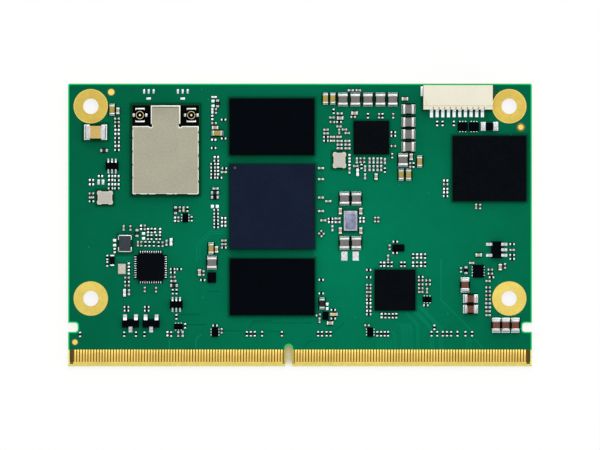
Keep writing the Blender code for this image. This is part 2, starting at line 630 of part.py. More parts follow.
def gull_packages():
    """Bodies with bent leads that come out half way up and stand on the board."""
    low = BOARD_TOP + 2 * SEAT
    for name, x, y, length, width, height, reach, lead_width, upper, lower, angle in GULL_PACKAGES:
        size = plan_size(length, width, height, angle)
        body = chamfered_block(name, 0.0, 0.0, low, size, principled(name, PACKAGE_COLOUR, 0.45))
        lead_along, lead_reach, thickness = plan_size(lead_width, reach, LEAD_THICKNESS, angle)
        profile = gull_profile(size[1] / 2, lead_reach, size[2] / 2, thickness)
        leads = bmesh.new()
        for side, places in ((90, upper), (-90, lower)):
            for at in places:
                matrix = place(at / length * size[0], 0.0, BOARD_TOP + SEAT, side) @ side_on(lead_along)
                add_prism(leads, profile, lead_along, matrix)
        boolean(body, "leads", leads, "UNION")
        turn_into_place(body, x, y, angle)


def quad_package():
    """A square body with its four corners cut off."""
    length, width, height = plan_size(*QUAD_SIZE)
    x, y = length / 2, width / 2
    cut_x = x - QUAD_CORNER_SHARE * length
    cut_y = y - QUAD_CORNER_SHARE * width
    outline = [
        (-cut_x, -y), (cut_x, -y), (x, -cut_y), (x, cut_y),
        (cut_x, y), (-cut_x, y), (-x, cut_y), (-x, -cut_y),
    ]
    shape = bmesh.new()
    low = BOARD_TOP + SEAT
    add_prism(shape, outline, height, lay(QUAD_X, QUAD_Y, low))
    chamfer_top(shape, low)
    finish("codec_chip", shape, principled("codec_chip", PACKAGE_COLOUR, 0.5))


def can_steps():
    """Half the can's length and width, then where its cut corners start."""
    x = WIRELESS_LENGTH / 2 - CAN_MARGIN
    y = WIRELESS_WIDTH / 2 - CAN_MARGIN
    return x, y, x - CAN_CORNER_LENGTH, y - CAN_CORNER_WIDTH


def can_outline():
    """The can seen from above: a rectangle without its two upper corners, each with a round relief."""
    x, y, step_x, step_y = can_steps()
    relief = CAN_RELIEF_RADIUS
    return [
        (-x, -y),
        (x, -y),
        (x, step_y),
        *arc(step_x, step_y, relief, 0, -270, CAN_RELIEF_STEPS),
        (step_x, y),
        (-step_x, y),
        *arc(-step_x, step_y, relief, 90, -180, CAN_RELIEF_STEPS),
        (-x, step_y),
    ]


def can_cavity():
    """The can's hollow from above, with its inner corners cut to keep the wall at the reliefs."""
    x, y, step_x, step_y = [value - CAN_WALL for value in can_steps()]
    cut = CAN_RELIEF_RADIUS + CAN_WALL
    return [
        (-x, -y),
        (x, -y),
        (x, step_y),
        (step_x, step_y - cut),
        (step_x - cut, step_y),
        (step_x - cut, y),
        (-step_x + cut, y),
        (-step_x + cut, step_y),
        (-step_x, step_y - cut),
        (-x, step_y),
    ]


def wireless_module():
    middle_x = WIRELESS_X * UNIT_X
    middle_y = WIRELESS_Y * UNIT_Y
    shape = bmesh.new()
    size = (WIRELESS_LENGTH, WIRELESS_WIDTH, WIRELESS_THICKNESS)
    add_box(shape, (middle_x, middle_y, WIRELESS_TOP - WIRELESS_THICKNESS / 2), size)
    finish("wireless_board", shape, principled("wireless_board", (0.004, 0.005, 0.004), 0.4))
    can = bmesh.new()
    low = WIRELESS_TOP + SEAT
    add_prism(can, can_outline(), CAN_HEIGHT, place(middle_x, middle_y, low))
    shield = finish("shield_can", can, principled("shield_can", (0.50, 0.49, 0.45), 0.4, 0.9))
    cavity = bmesh.new()
    add_prism(cavity, can_cavity(), CAN_HEIGHT, place(middle_x, middle_y, low - CAN_WALL))
    boolean(shield, "cavity", cavity, "DIFFERENCE")
    radio = principled("radio_chip", PACKAGE_COLOUR, 0.5)
    chamfered_block("radio_chip", middle_x, middle_y, low, plan_size(*RADIO_CHIP), radio)
    socket_x = WIRELESS_LENGTH / 2 - SOCKET_SIDE_INSET
    socket_y = middle_y + WIRELESS_WIDTH / 2 - SOCKET_END_INSET
    for name, side in (("antenna_socket_left", -1), ("antenna_socket_right", 1)):
        antenna_socket(name, middle_x + side * socket_x, socket_y)


def antenna_socket(name, x, y):
    """A flat base with a round gold collar and a centre pin."""
    shape = bmesh.new()
    low = WIRELESS_TOP + SEAT
    add_box(shape, (x, y, low + SOCKET_BASE_HEIGHT / 2), (SOCKET_LENGTH, SOCKET_WIDTH, SOCKET_BASE_HEIGHT))
    socket = finish(name, shape, principled(name, GOLD, 0.3, 1.0))
    collar = bmesh.new()
    collar_height = SOCKET_RING_HEIGHT - SOCKET_BASE_HEIGHT / 2
    collar_middle = low + SOCKET_RING_HEIGHT - collar_height / 2
    add_cylinder(collar, (x, y, collar_middle), SOCKET_RING_DIAMETER, collar_height, SOCKET_RING_SEGMENTS)
    boolean(socket, "collar", collar, "UNION")
    bore = bmesh.new()
    bore_diameter = SOCKET_RING_DIAMETER - 2 * SOCKET_RING_WALL
    bore_height = 2 * SOCKET_RING_HEIGHT
    bore_middle = low + SOCKET_BASE_HEIGHT + bore_height / 2
    add_cylinder(bore, (x, y, bore_middle), bore_diameter, bore_height, SOCKET_RING_SEGMENTS)
    boolean(socket, "bore", bore, "DIFFERENCE")
    pin = bmesh.new()
    pin_height = SOCKET_PIN_HEIGHT - SOCKET_BASE_HEIGHT / 2
    pin_middle = low + SOCKET_PIN_HEIGHT - pin_height / 2
    add_cylinder(pin, (x, y, pin_middle), SOCKET_PIN_DIAMETER, pin_height, SOCKET_PIN_SEGMENTS)
    boolean(socket, "pin", pin, "UNION")


def along_x(start, level):
    """Turns an outline drawn in Y and Z into a prism that runs along X from its start."""
    return Matrix(((0, 0, 1, start), (1, 0, 0, 0), (0, 1, 0, level), (0, 0, 0, 1)))


def contact_x(i):
    return HEADER_X + CONTACT_ROW_SHIFT + (i - (CONTACTS - 1) / 2) * CONTACT_PITCH


def header():
    """The housing is open towards the upper board edge, and its back wall has a slot for each contact."""
    front = BOARD_WIDTH / 2 - HEADER_EDGE_INSET
    back = front - HEADER_DEPTH
    low = BOARD_TOP + SEAT
    shape = bmesh.new()
    profile = [
        (back, 0.0),
        (front, 0.0),
        (front, HEADER_HEIGHT),
        (back + HEADER_LEDGE_DEPTH, HEADER_HEIGHT),
        (back + HEADER_LEDGE_DEPTH, HEADER_HEIGHT - HEADER_LEDGE_DROP),
        (back, HEADER_HEIGHT - HEADER_LEDGE_DROP),
    ]
    add_prism(shape, profile, HEADER_LENGTH, along_x(HEADER_X - HEADER_LENGTH / 2, low))
    housing = finish("header_housing", shape, principled("header_housing", (0.80, 0.77, 0.66), 0.45))
    mouth = bmesh.new()
    depth = HEADER_DEPTH - HEADER_BACK_WALL
    mouth_size = (HEADER_LENGTH - 2 * HEADER_WALL, 2 * depth, HEADER_HEIGHT - 2 * HEADER_FLOOR)
    add_box(mouth, (HEADER_X, front, low + HEADER_HEIGHT / 2), mouth_size)
    boolean(housing, "mouth", mouth, "DIFFERENCE")
    slots = bmesh.new()
    slot_size = (CONTACT_WIDTH + 2 * FIT, HEADER_DEPTH, CONTACT_THICKNESS + 2 * FIT)
    level = low + CONTACT_HEIGHT + CONTACT_THICKNESS / 2
    for i in range(CONTACTS):
        add_box(slots, (contact_x(i), back, level), slot_size)
    boolean(housing, "slots", slots, "DIFFERENCE")
    contacts(back, low)
    for name, side in (("header_tab_left", -1), ("header_tab_right", 1)):
        header_tab(name, side, front, low)


def contacts(back, low):
    """Ten bent contacts: a foot on the board, a riser behind the housing and a pin into its mouth."""
    t = CONTACT_THICKNESS
    riser = back - FIT
    toe = back - CONTACT_FOOT_LENGTH
    tip = back + HEADER_BACK_WALL + CONTACT_PIN_LENGTH
    profile = [
        (toe, 0.0),
        (riser, 0.0),
        (riser, CONTACT_HEIGHT),
        (tip, CONTACT_HEIGHT),
        (tip, CONTACT_HEIGHT + t),
        (riser - t, CONTACT_HEIGHT + t),
        (riser - t, t),
        (toe, t),
    ]
    metal = principled("contact_tin", TIN, 0.3, 1.0)
    for i in range(CONTACTS):
        shape = bmesh.new()
        add_prism(shape, profile, CONTACT_WIDTH, along_x(contact_x(i) - CONTACT_WIDTH / 2, low))
        finish(f"header_contact_{i + 1}", shape, metal)


def header_tab(name, side, front, low):
    """A solder tab that holds the housing at its end."""
    t = CONTACT_THICKNESS
    wall = HEADER_LENGTH / 2 + FIT
    outline = [
        (wall, 0.0),
        (wall + TAB_WIDTH, 0.0),
        (wall + TAB_WIDTH, t),
        (wall + t, t),
        (wall + t, TAB_HEIGHT),
        (wall, TAB_HEIGHT),
    ]
    shape = bmesh.new()
    turn = place(HEADER_X, front - TAB_FROM_MOUTH - TAB_LENGTH / 2, low, 0 if side > 0 else 180)
    add_prism(shape, outline, TAB_LENGTH, turn @ side_on(TAB_LENGTH))
    finish(name, shape, principled(name, TIN, 0.3, 1.0))


def crystals():
    """Two with a half-round notch in each side, one with a raised metal lid, and a small plain one."""
    low = BOARD_TOP + SEAT
    for name, x, y, length, width, height, colour in CRYSTALS:
        size = plan_size(length, width, height)
        shape = bmesh.new()
        add_box(shape, (0.0, 0.0, low + size[2] / 2), size)
        crystal = finish(name, shape, principled(name, colour, 0.4, 0.3))
        cuts = bmesh.new()
        for dx, dy in ((-1, 0), (1, 0), (0, -1), (0, 1)):
            at = (dx * size[0] / 2, dy * size[1] / 2, low + size[2] / 2)
            add_cylinder(cuts, at, CASTELLATION_DIAMETER, CUTTER_OVERSHOOT * size[2], CASTELLATION_SEGMENTS)
        boolean(crystal, "castellations", cuts, "DIFFERENCE")
        turn_into_place(crystal, x, y, ACROSS)
    name, x, y, length, width, height, colour = OSCILLATOR
    along, across, top = plan_size(length, width, height)
    base = (along, across, top - OSCILLATOR_LID_RISE)
    metal = principled(name, colour, 0.3, 0.8)
    can = chamfered_block(name, x * UNIT_X, y * UNIT_Y, low, base, metal)
    lid = bmesh.new()
    lid_size = (along - 2 * OSCILLATOR_LID_INSET, across - 2 * OSCILLATOR_LID_INSET, 2 * OSCILLATOR_LID_RISE)
    add_box(lid, (x * UNIT_X, y * UNIT_Y, low + base[2]), lid_size)
    boolean(can, "lid", lid, "UNION")
    name, x, y, length, width, height, colour = SMALL_CRYSTAL
    size = plan_size(length, width, height)
    chamfered_block(name, x * UNIT_X, y * UNIT_Y, low, size, principled(name, colour, 0.4))


def inductor():
    shape = bmesh.new()
    low = BOARD_TOP + SEAT
    size = (INDUCTOR_LENGTH, INDUCTOR_WIDTH, INDUCTOR_HEIGHT)
    add_box(shape, (INDUCTOR_X * UNIT_X, INDUCTOR_Y * UNIT_Y, low + INDUCTOR_HEIGHT / 2), size)
    body = finish("coil_inductor", shape, principled("coil_inductor", (0.06, 0.065, 0.08), 0.5))
    brackets = bmesh.new()
    outer = INDUCTOR_WIDTH / 2 + BRACKET_PROUD
    side = INDUCTOR_LENGTH / 2 + BRACKET_PROUD
    inner = INDUCTOR_LENGTH / 2 - BRACKET_PROUD
    for sign in (-1, 1):
        outline = [
            (-side, sign * outer),
            (side, sign * outer),
            (side, sign * (outer - BRACKET_REACH)),
            (inner, sign * (outer - BRACKET_REACH)),
            (inner, sign * (outer - 2 * BRACKET_PROUD)),
            (-inner, sign * (outer - 2 * BRACKET_PROUD)),
            (-inner, sign * (outer - BRACKET_REACH)),
            (-side, sign * (outer - BRACKET_REACH)),
        ]
        at = lay(INDUCTOR_X, INDUCTOR_Y, low + SEAT)
        add_prism(brackets, outline, BRACKET_HEIGHT, at)
    boolean(body, "brackets", brackets, "UNION")


def large_part(name, size, angle, x, y, colour):
    shape = bmesh.new()
    add_ended_part(shape, x, y, angle, size, seat=SEAT)
    return finish(name, shape, principled(name, colour, 0.45))


def large_parts():
    """Two-ended parts that are big enough to be pieces of their own."""
    for name, size, angle, x, y, colour in LARGE_PARTS:
        large_part(name, size, angle, x, y, colour)
    large_part(*DIODE, PACKAGE_COLOUR)
    fuse = large_part(*FUSE, PACKAGE_COLOUR)
    _, fuse_size, angle, x, y = FUSE
    length, width, height = plan_size(*fuse_size, angle)
    waist = bmesh.new()
    waist_size = (length * (1 - 2 * END_SHARE), width * (1 - FUSE_BODY_SHARE), 4 * height)
    for side in (-1, 1):
        add_box(waist, (x * UNIT_X, y * UNIT_Y + side * width / 2, BOARD_TOP), waist_size)
    boolean(fuse, "waist", waist, "DIFFERENCE")


clear_scene()
PARTS = new_collection("system_on_module")
CUTTERS = new_collection("cutters", is_helper=True)
printed_board()
packages()
lead_packages()
gull_packages()
quad_package()
wireless_module()
header()
crystals()
inductor()
large_parts()
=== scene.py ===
"""Look of the system on module: a green card-edge board seen from straight above on white."""

import math

import bmesh
import bpy
import numpy as np
from mathutils import Matrix, Vector


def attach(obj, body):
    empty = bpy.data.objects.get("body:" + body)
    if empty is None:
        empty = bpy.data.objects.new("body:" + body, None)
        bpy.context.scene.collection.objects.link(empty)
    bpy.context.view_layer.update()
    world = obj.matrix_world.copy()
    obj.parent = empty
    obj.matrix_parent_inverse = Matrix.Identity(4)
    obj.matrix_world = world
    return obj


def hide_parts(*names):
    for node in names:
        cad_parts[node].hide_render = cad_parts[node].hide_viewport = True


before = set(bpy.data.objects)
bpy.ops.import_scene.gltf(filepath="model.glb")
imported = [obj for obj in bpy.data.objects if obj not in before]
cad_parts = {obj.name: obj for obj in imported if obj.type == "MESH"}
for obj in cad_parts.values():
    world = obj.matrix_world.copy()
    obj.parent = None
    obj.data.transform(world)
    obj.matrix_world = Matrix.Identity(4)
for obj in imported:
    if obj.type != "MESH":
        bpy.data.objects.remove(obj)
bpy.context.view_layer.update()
MM = 0.001


def footprint(node):
    """A CAD node's middle x, middle y, length, width and height in millimetres."""
    corners = np.array([(node.matrix_world @ Vector(corner))[:] for corner in node.bound_box]) / MM
    low, high = corners.min(axis=0), corners.max(axis=0)
    return np.round([*(low + high)[:2] / 2, *(high - low)], 3).tolist()


PLACES = {name: footprint(node) for name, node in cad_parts.items()}

# Levels above the table: the mask's upper face, the highest copper, and the height of the solder under a part
TOP = 1.2
COPPER = 1.25
SEAT = 0.06

# Thin layers that overlap lie this much apart
LAYER_STEP = 0.0002

# The board, with its middle at the origin: its edges, the key slot, the bores and the edge contacts
HALF_LENGTH, HALF_WIDTH = (edge / 2 for edge in PLACES["printed_board"][2:4])
KEY_X = -2.0
KEY_HALF = 0.6
KEY_DEPTH = 3.8
BORE = 1.39
FINGER_PITCH = 0.5
FINGER_Y = -23.14

# The photograph's width in pixels, and its scale
FRAME_WIDTH = 600
PIXELS_PER_MM = 5.655

# Places of the small parts: kind, lie in degrees from X, places in millimetres from the middle
PARTS = [
    ("resistor", 0, [
        (-32.36, 17.5), (-32.36, 15.35), (-32.36, 14.65), (-32.36, 13.25), (-33.5, 6.48),
        (-32.38, 6.48), (-32.38, 7.89), (-36.88, 4.18), (-30.58, -10.05), (-30.68, -14.5),
        (-30.68, -15.15), (-27.1, -14.5), (-27.1, -15.15), (-13.52, 18.62), (-13.5, 15.28),
        (-15.28, 13.6), (-14.8, 11.35), (-15.38, 10.8), (-15.38, 10.15), (-15.38, 9.55),
        (-15.38, 8.95), (-15.38, 8.35), (-14.22, 8.35), (-13.38, 10), (-14.83, 2.65), (-14.83, 2),
        (-14.83, 1.4), (-14.83, 0.8), (-14.83, 0.2), (-14.83, -0.4), (-13.45, -4), (-22.53, -7.8),
        (-21.35, -7.8), (-22.5, -8.4), (-17.2, -9.75), (-15.03, -17.78), (6.9, 18.2), (4.58, 15.55),
        (4.58, 14.9), (5.4, 1.1), (3.75, -9.7), (3.75, -12.1), (5.88, -15.02), (5.88, -16.55),
        (12.15, -7.95), (12.15, -9.25), (12.15, -13.2), (12.15, -14.5), (12.15, -15.8),
        (16.5, 16.4), (16.5, 15.75), (25.75, 5.1), (16.85, -2.95), (16.8, -4.95), (21.35, -9.2),
        (22.25, -14.2), (37.5, -3.4), (37.5, -5.3), (37.5, -6), (33.85, -9.25),
    ]),
    ("resistor", 90, [
        (-34.08, -5.74), (-34.08, -6.9), (-38.88, -19.35), (-31.07, -19.3), (-29, -19.3),
        (-27.5, -19.3), (-27.33, -3.35), (-19.9, 2.8), (-19.15, 1.1), (-26.25, -1), (-26.9, -2.15),
        (-26.27, -2.15), (-25.4, -2.15), (-24.77, -2.15), (-26.62, -3.35), (-25.85, -3.35),
        (-25, -3.4), (-22.5, -11.8), (-21.83, -11.8), (-21.85, -16.25), (-20.32, -17.85),
        (-22.78, -19.3), (-9.4, -19.25), (-8.7, -19.25), (-8, -19.25), (-6.7, -19.25),
        (-3.2, -19.25), (3.2, -19.25), (3.88, -19.25), (4.7, -19.25), (5.4, -19.25),
        (13.65, -19.25), (14.33, -19.25), (14.98, -19.25), (15.57, -19.25), (23.25, -19.25),
        (24.25, -19.25), (25.25, -19.25), (25.98, -19.25), (26.72, -19.25), (27.85, -19.25),
        (29.25, -19.25), (30.42, -19.25), (5.95, 20.1), (12, 19.3), (14.58, 19.3), (10.87, 10.35),
        (15, 9.7), (14.3, -6.95), (15.57, -6.95), (16.2, -6.95), (17.9, -6.95), (18.5, -6.95),
        (20.7, -6.95), (22.1, -6.95), (20, -5.5), (22.1, -5.5), (15.1, -16.05), (15.75, -16.05),
        (16.4, -16.05), (17.03, -16.05), (24.25, 17.95), (25.2, 17.95), (27.2, 17.95),
        (20.07, 10.6), (23.75, -18.1),
    ]),
    ("brown", 0, [
        (-32.36, 18.81), (-32.36, 18.18), (-36.88, 5.58), (-30.58, -9.3), (-30.58, -10.7),
        (-22.5, -9.2), (-15.2, 18), (5.72, 18.2), (9.4, 19.1),
        (12.15, -10.6), (12.15, -11.2), (12.15, -12.55), (11.85, -17.75), (16.5, 13.95),
        (25.75, 7.2), (21.35, -9.8), (21.35, -10.5), (21.35, -11.2), (22.65, -9.8), (22.65, -10.5),
        (33.65, -7.9), (33.65, -8.6), (33.25, -11.05), (33.25, -11.75),
        (33.25, -12.45), (33.25, -13.15),
    ]),
    ("sand", 0, [
        (10.3, 23.8), (5.65, 19), (6.9, 17.42), (7.86, 16.88), (8.35, 16.25), (4.6, 16.85),
        (4.6, 16.2), (12.15, -11.85), (21.35, -11.85), (33.25, -15.95), (9.85, 10.42),
        (-13.45, -2.75), (-13.45, -3.4), (37.5, -4.4), (33.25, -9.9), (33.25, -15.25),
    ]),
    ("orange", 0, [
        (-36.88, 4.88), (5.75, 15.58), (5.75, 14.88), (6.9, 15.58), (30.35, -6.7),
    ]),
    ("brown", 90, [
        (-29.98, -0.53), (-28.07, -3.33), (-27.43, -0.43), (-21.25, 2.8), (-21.5, 1), (-24.3, -3.4),
        (-27.45, -11.4), (-25.45, -11.45), (-14.85, 20.15), (-21.53, -19.3), (-13.85, -18.72),
        (-17.05, -8.5), (13.97, 19.3), (10.7, 11.45), (11.35, 11.45), (13.27, 0.95), (13.85, 0.95),
        (16.48, 19.3), (16.3, 12.25), (19.48, 10.6), (15.85, -3.95), (28.45, -7.95),
        (36.25, -7.25),
        (31.85, 3.25),
    ]),
    ("sand", 90, [
        (-31.18, -0.53), (-28.67, -3.33), (3.45, -16.85), (31.13, 3.3),
        (22.45, -11.6),
    ]),
    ("orange", 90, [
        (-20.6, 2.8),
    ]),
    ("bare", 90, [
        (-15.5, 20.15),
    ]),
    ("brown", -48, [
        (3.58, -1.75), (3.98, -1.3),
    ]),
    ("brown", 18, [
        (3.23, -15.9),
    ]),
    ("narrow_sand", 90, [
        (6.93, 16.55),
    ]),
    ("narrow_bare", 0, [
        (-15.2, 22.63),
    ]),
    ("long_sand", 0, [
        (7, 14.85), (8.37, 14.85), (7, 13.55), (8.4, 13.55), (-13.45, 9.35), (-14.93, 6.45),
        (6.65, 1.15), (4.1, 0.8), (5, 4.2), (3.7, 10.05), (3.7, 8.1), (3.7, 4.85), (3.7, 2.45),
    ]),
    ("long_grey", 0, [
        (8.98, 23.8), (7.02, 19.72), (7, 14.2), (8.4, 14.2), (-22.4, -9.9), (33.25, -13.85),
        (33.25, -14.55), (6.65, 0.5),
    ]),
    ("long_sand", 90, [
        (12.3, 11.4), (13, 11.4), (13.7, 11.4), (15, 11.3), (12.3, 10.05), (11.5, 8.6), (11.5, 10),
        (10.05, 11.4),
    ]),
    ("long_grey", 90, [
        (-23.6, -3.15), (-30.23, -11.9), (14.35, 11.4), (13, 10.05), (13.7, 10.05), (14.35, 10.05),
        (5.73, -0.58), (8.75, 9.6), (-20.75, -19.25), (15.58, -5.78),
    ]),
    ("ferrite", 90, [
        (-31.03, -12), (-22.8, -3), (10.18, 9.3),
    ]),
    ("medium", 0, [
        (-15.02, 17.22), (7.1, 18.9), (9.63, 19.78), (18.55, 22.3), (5.3, -17.33), (31.6, -5.3),
    ]),
    ("medium", 90, [
        (-32.2, 20.18), (-14.75, -4.33), (-17.77, -8.4), (13.45, 8.55), (7.12, 2.45), (10.75, 2.45),
        (7.12, -1), (10.75, -1), (19.67, 12.05), (35.4, -7.45),
    ]),
    ("medium_resistor", 0, [
        (-34.65, 13.17), (-15.05, 5.7), (-15.05, 4.9), (-22.3, -10.7),
    ]),
    ("medium_resistor", 90, [
        (-28.82, -1.43), (-22, 2.6), (-14.58, 21.48), (29.35, -8),
    ]),
    ("led", 0, [
        (5.98, -15.8),
    ]),
    ("tan", 0, [
        (-14.65, 16.25),
    ]),
    ("tan", 90, [
        (-33.23, 20.37), (-15.73, -4.15), (4.5, 22.32), (5.8, 22.32), (21.15, 11.22), (17.88, 8.88),
        (19.2, 8.88), (3.9, -13.9),
    ]),
    ("grey", 0, [
        (19.17, 20.48), (19.17, 18.2), (19.17, 16.05), (19.17, 13.85),
    ]),
    ("grey", 90, [
        (7.58, 22.18), (9.78, 22.18), (12, 22.18), (14.22, 22.18), (16.4, 22.18), (18.22, 11.48),
        (7.85, 4.67), (9.98, 4.67), (7.85, -3.18), (9.98, -3.18), (-15.58, -6.67),
    ]),
]

# Kinds of small part: length, width, height, length of one metal end, body colour, end colour
KINDS = {
    "resistor": (0.93, 0.36, 0.35, 0.265, "body_black", "end_tin"),
    "brown": (0.93, 0.37, 0.5, 0.26, "body_brown", "end_dull"),
    "sand": (0.93, 0.37, 0.5, 0.25, "body_sand", "end_dull"),
    "orange": (0.93, 0.37, 0.5, 0.26, "body_orange", "end_dull"),
    "bare": (0.95, 0.4, 0.5, 0.37, "body_pale", "end_tin"),
    "narrow_sand": (0.93, 0.35, 0.4, 0.26, "body_sand", "end_dull"),
    "narrow_bare": (0.93, 0.34, 0.4, 0.38, "body_pale", "end_tin"),
    "long_sand": (1.06, 0.38, 0.55, 0.34, "body_sand", "end_dull"),
    "long_grey": (1.06, 0.38, 0.55, 0.34, "body_mist", "end_dull"),
    "ferrite": (1.3, 0.52, 0.5, 0.5, "body_pale", "end_tin"),
    "medium": (1.12, 0.6, 0.65, 0.27, "body_khaki", "end_plain"),
    "medium_resistor": (1.34, 0.56, 0.45, 0.36, "body_slate", "end_dark"),
    "led": (1.38, 0.56, 0.5, 0.38, "body_amber", "end_dark"),
    "tan": (2.02, 0.96, 0.85, 0.49, "body_mustard", "end_dull"),
    "grey": (2.32, 1.72, 1.25, 0.62, "body_grey", "end_plain"),
}

# Single parts whose body has another colour than its kind
OTHER_BODIES = {(3.9, -13.9): "body_olive", (-15.05, 4.9): "body_black", (29.35, -8): "body_black"}

# Pairs of bare solder pads, which lie across or stand upright: middle x, middle y
BARE_ACROSS = [
    (-32.36, 16.8), (-32.36, 16.1), (-32.36, 13.97), (-35.28, 8.64), (-33.5, 8.64),
    (-32.38, 8.64), (-36.88, 7.94), (-33.5, 7.94), (-36.88, 7.18), (-33.5, 7.18),
    (-32.38, 7.18), (-15.27, 15.07), (-14.8, 12.0), (5.4, 0.5), (10.95, 1.2), (10.95, 0.6),
    (12.15, -13.85), (12.15, -15.2), (25.75, 7.85), (25.75, 6.35), (25.75, 5.75),
    (-13.5, 1.2), (-13.5, 0.5), (-13.5, -0.15),
]
BARE_UPRIGHT = [
    (-28.12, -0.43), (-32.78, -4.53), (-30.28, -7.1), (-30.28, -8.3), (-14.5, 10.48),
    (-14.5, 9.25), (-15.52, 19.0), (-22.1, 1.0), (-26.88, -1.0), (-25.65, -1.0),
    (-24.75, -1.0), (-23.45, -19.25), (8.75, 12.05), (8.75, 10.9), (14.88, -6.95),
    (20.7, -5.5), (21.4, -5.5), (20.0, -6.95), (21.4, -6.95), (14.42, -16.05),
]

# Single bare pads: middle x, middle y, length, width
WIDE_PADS = [
    (-27.68, -2.38, 0.54, 0.44), (-27.68, -1.52, 0.54, 0.44), (-32.78, -3.58, 0.56, 0.44),
    (-32.78, -2.72, 0.56, 0.44), (-15.4, 21.05, 0.52, 0.44), (-15.4, 21.91, 0.52, 0.44),
    (-15.5, 3.27, 0.5, 0.56), (-14.64, 3.27, 0.5, 0.56), (4.8, -14.8, 0.45, 0.5),
    (4.8, -14.0, 0.45, 0.5), (-35.63, 7.6, 0.4, 0.9), (-34.84, 7.6, 0.46, 0.9),
    (-27.57, 23.62, 0.34, 0.78), (-26.75, 23.62, 0.34, 0.78), (-25.9, 23.62, 0.34, 0.78),
    (-26.78, 22.35, 0.78, 0.36), (-21.6, 23.62, 0.34, 0.78), (-20.75, 23.62, 0.34, 0.78),
    (-19.87, 23.62, 0.34, 0.78), (-20.75, 22.35, 0.78, 0.36), (7.85, -5.5, 1.1, 1.6),
    (9.85, -5.5, 1.1, 1.6),
]

# Small through-plated dots
VIAS = [
    (-37.4, -3.93), (-39.0, -18.25), (3.45, 9.15), (7.3, 6.1), (17.6, 7.0), (22.72, 5.75),
    (33.7, 18.65), (-17.2, -12.8), (-16.2, 22.2), (-17.4, 23.95), (9.8, -16.3),
    (26.1, -15.65), (15.48, -2.75), (16.2, -5.5), (29.5, 16.0), (37.3, 16.0),
]

# Bores, and alignment dots with the radii of the dot and of the bare ring round it
HOLES = [(-37.0, 21.0), (37.0, 21.0), (-37.0, -13.0), (37.0, -13.0)]
FIDUCIALS = [(-33.38, 23.5, 0.57, 0.66), (39.05, 17.3, 0.5, 0.77), (-39.8, -20.72, 0.48, 0.56)]

# Copper under the mask: points of one run, its width, how many lie side by side, and their step
RUNS = [
    ([(24.95, -6.0), (24.95, -13.28), (30.42, -18.73), (30.6, -20.0)], 0.2, 1, (0, 0)),
    ([(30.75, -20.1), (32.35, -21.7)], 0.2, 1, (0, 0)),
    ([(20.8, -14.2), (24.6, -18.4), (24.6, -21.9)], 0.16, 3, (0.32, 0)),
    ([(20.0, -15.2), (23.0, -18.4), (23.0, -21.9)], 0.16, 3, (0.32, 0)),
    ([(18.9, -15.4), (21.0, -17.7), (21.0, -21.9)], 0.14, 2, (-0.35, 0)),
    ([(17.4, -17.4), (18.0, -18.2), (18.0, -21.9)], 0.14, 6, (0.36, 0)),
    ([(15.9, -18.8), (16.6, -19.4), (16.6, -21.9)], 0.14, 2, (0.36, 0)),
    ([(13.8, -20.0), (13.8, -21.9)], 0.14, 6, (0.45, 0)),
    ([(29.48, -19.9), (29.48, -21.9)], 0.14, 3, (0.36, 0)),
    ([(-13.3, -1.5), (-15.8, -1.5), (-17.7, -3.5), (-17.7, -6.2)], 0.14, 1, (0, 0)),
    ([(-13.3, -1.1), (-16.0, -1.1), (-18.25, -3.4), (-18.25, -6.6)], 0.14, 1, (0, 0)),
    ([(-17.4, -19.3), (-18.4, -20.2), (-18.4, -21.9)], 0.3, 1, (0, 0)),
    ([(-23.1, -20.2), (-23.1, -21.9)], 0.3, 1, (0, 0)),
    ([(-32.6, -5.75), (-29.9, -5.75)], 0.18, 3, (0, -0.3)),
    ([(35.0, -10.2), (35.3, -9.9), (35.45, -9.4), (35.45, -9.0)], 0.14, 1, (0, 0)),
]

# Grooves between copper fills: points of one groove and its width
SUNK_RUNS = [
    ([(-21.3, -15.8), (-17.5, -15.8)], 0.22), ([(-20.0, -17.6), (-16.8, -17.6)], 0.22),
    ([(-16.4, -11.75), (-14.4, -11.75)], 0.22), ([(-14.0, -18.7), (-9.9, -18.7)], 0.18),
    ([(-9.0, -18.2), (-8.1, -16.95), (-5.0, -16.95)], 0.22), ([(-8.0, -17.3), (2.2, -17.3)], 0.16),
    ([(-5.8, -18.8), (-3.7, -18.8)], 0.16), ([(0.9, -21.4), (1.6, -20.5), (3.1, -20.5)], 0.16),
    ([(5.9, -19.0), (7.8, -17.3)], 0.18), ([(-33.0, -5.35), (-29.8, -5.35)], 0.16),
]

# Large parts with painted shade on the mask at their feet, and the place of that painted shade where it isn't
# the part's own footprint
SHADED = [
    "processor", "memory_upper", "memory_lower", "storage_chip", "power_chip", "interface_chip",
    "wireless_board", "header_housing", "bulk_capacitor", "oscillator", "coil_inductor",
    "crystal_left", "crystal_middle",
]
SHADED_PLACES = {
    "header_housing": (27.92, 22.2, 12.25, 3.6),
    "bulk_capacitor": (-36.15, 16.4, 4.15, 2.7),
    "coil_inductor": (-30.95, -3.27, 2.4, 3.0),
}

# Flat packages, and the body of those whose CAD node holds their leads too: length, width
FLAT_PACKAGES = [
    "power_chip", "interface_chip", "load_switch_left", "load_switch_right", "converter_chip",
    *(f"logic_chip_{letter}" for letter in "abcdefg"), "regulator_small",
]
BODIES = {"logic_chip_f": (1.65, 1.4), "logic_chip_g": (1.65, 1.4), "regulator_small": (1.85, 2.1)}


# Materials


def linear(*rgb):
    """A colour given as screen values from 0 to 255."""
    return tuple((v / 255 / 12.92) if v <= 10 else ((v / 255 + 0.055) / 1.055) ** 2.4 for v in rgb)


def shade(colour, factor):
    """A colour made darker or paler by a factor."""
    return [min(1.0, c * factor) for c in colour]


def settle(node, **values):
    """Sets sockets, whose names are written with _ for a space."""
    for name, value in values.items():
        node.inputs[name.replace("_", " ")].default_value = value
    return node


def made(nodes, kind, **values):
    """A new shader node of a kind, with its sockets set."""
    return settle(nodes.new("ShaderNode" + kind), **values)


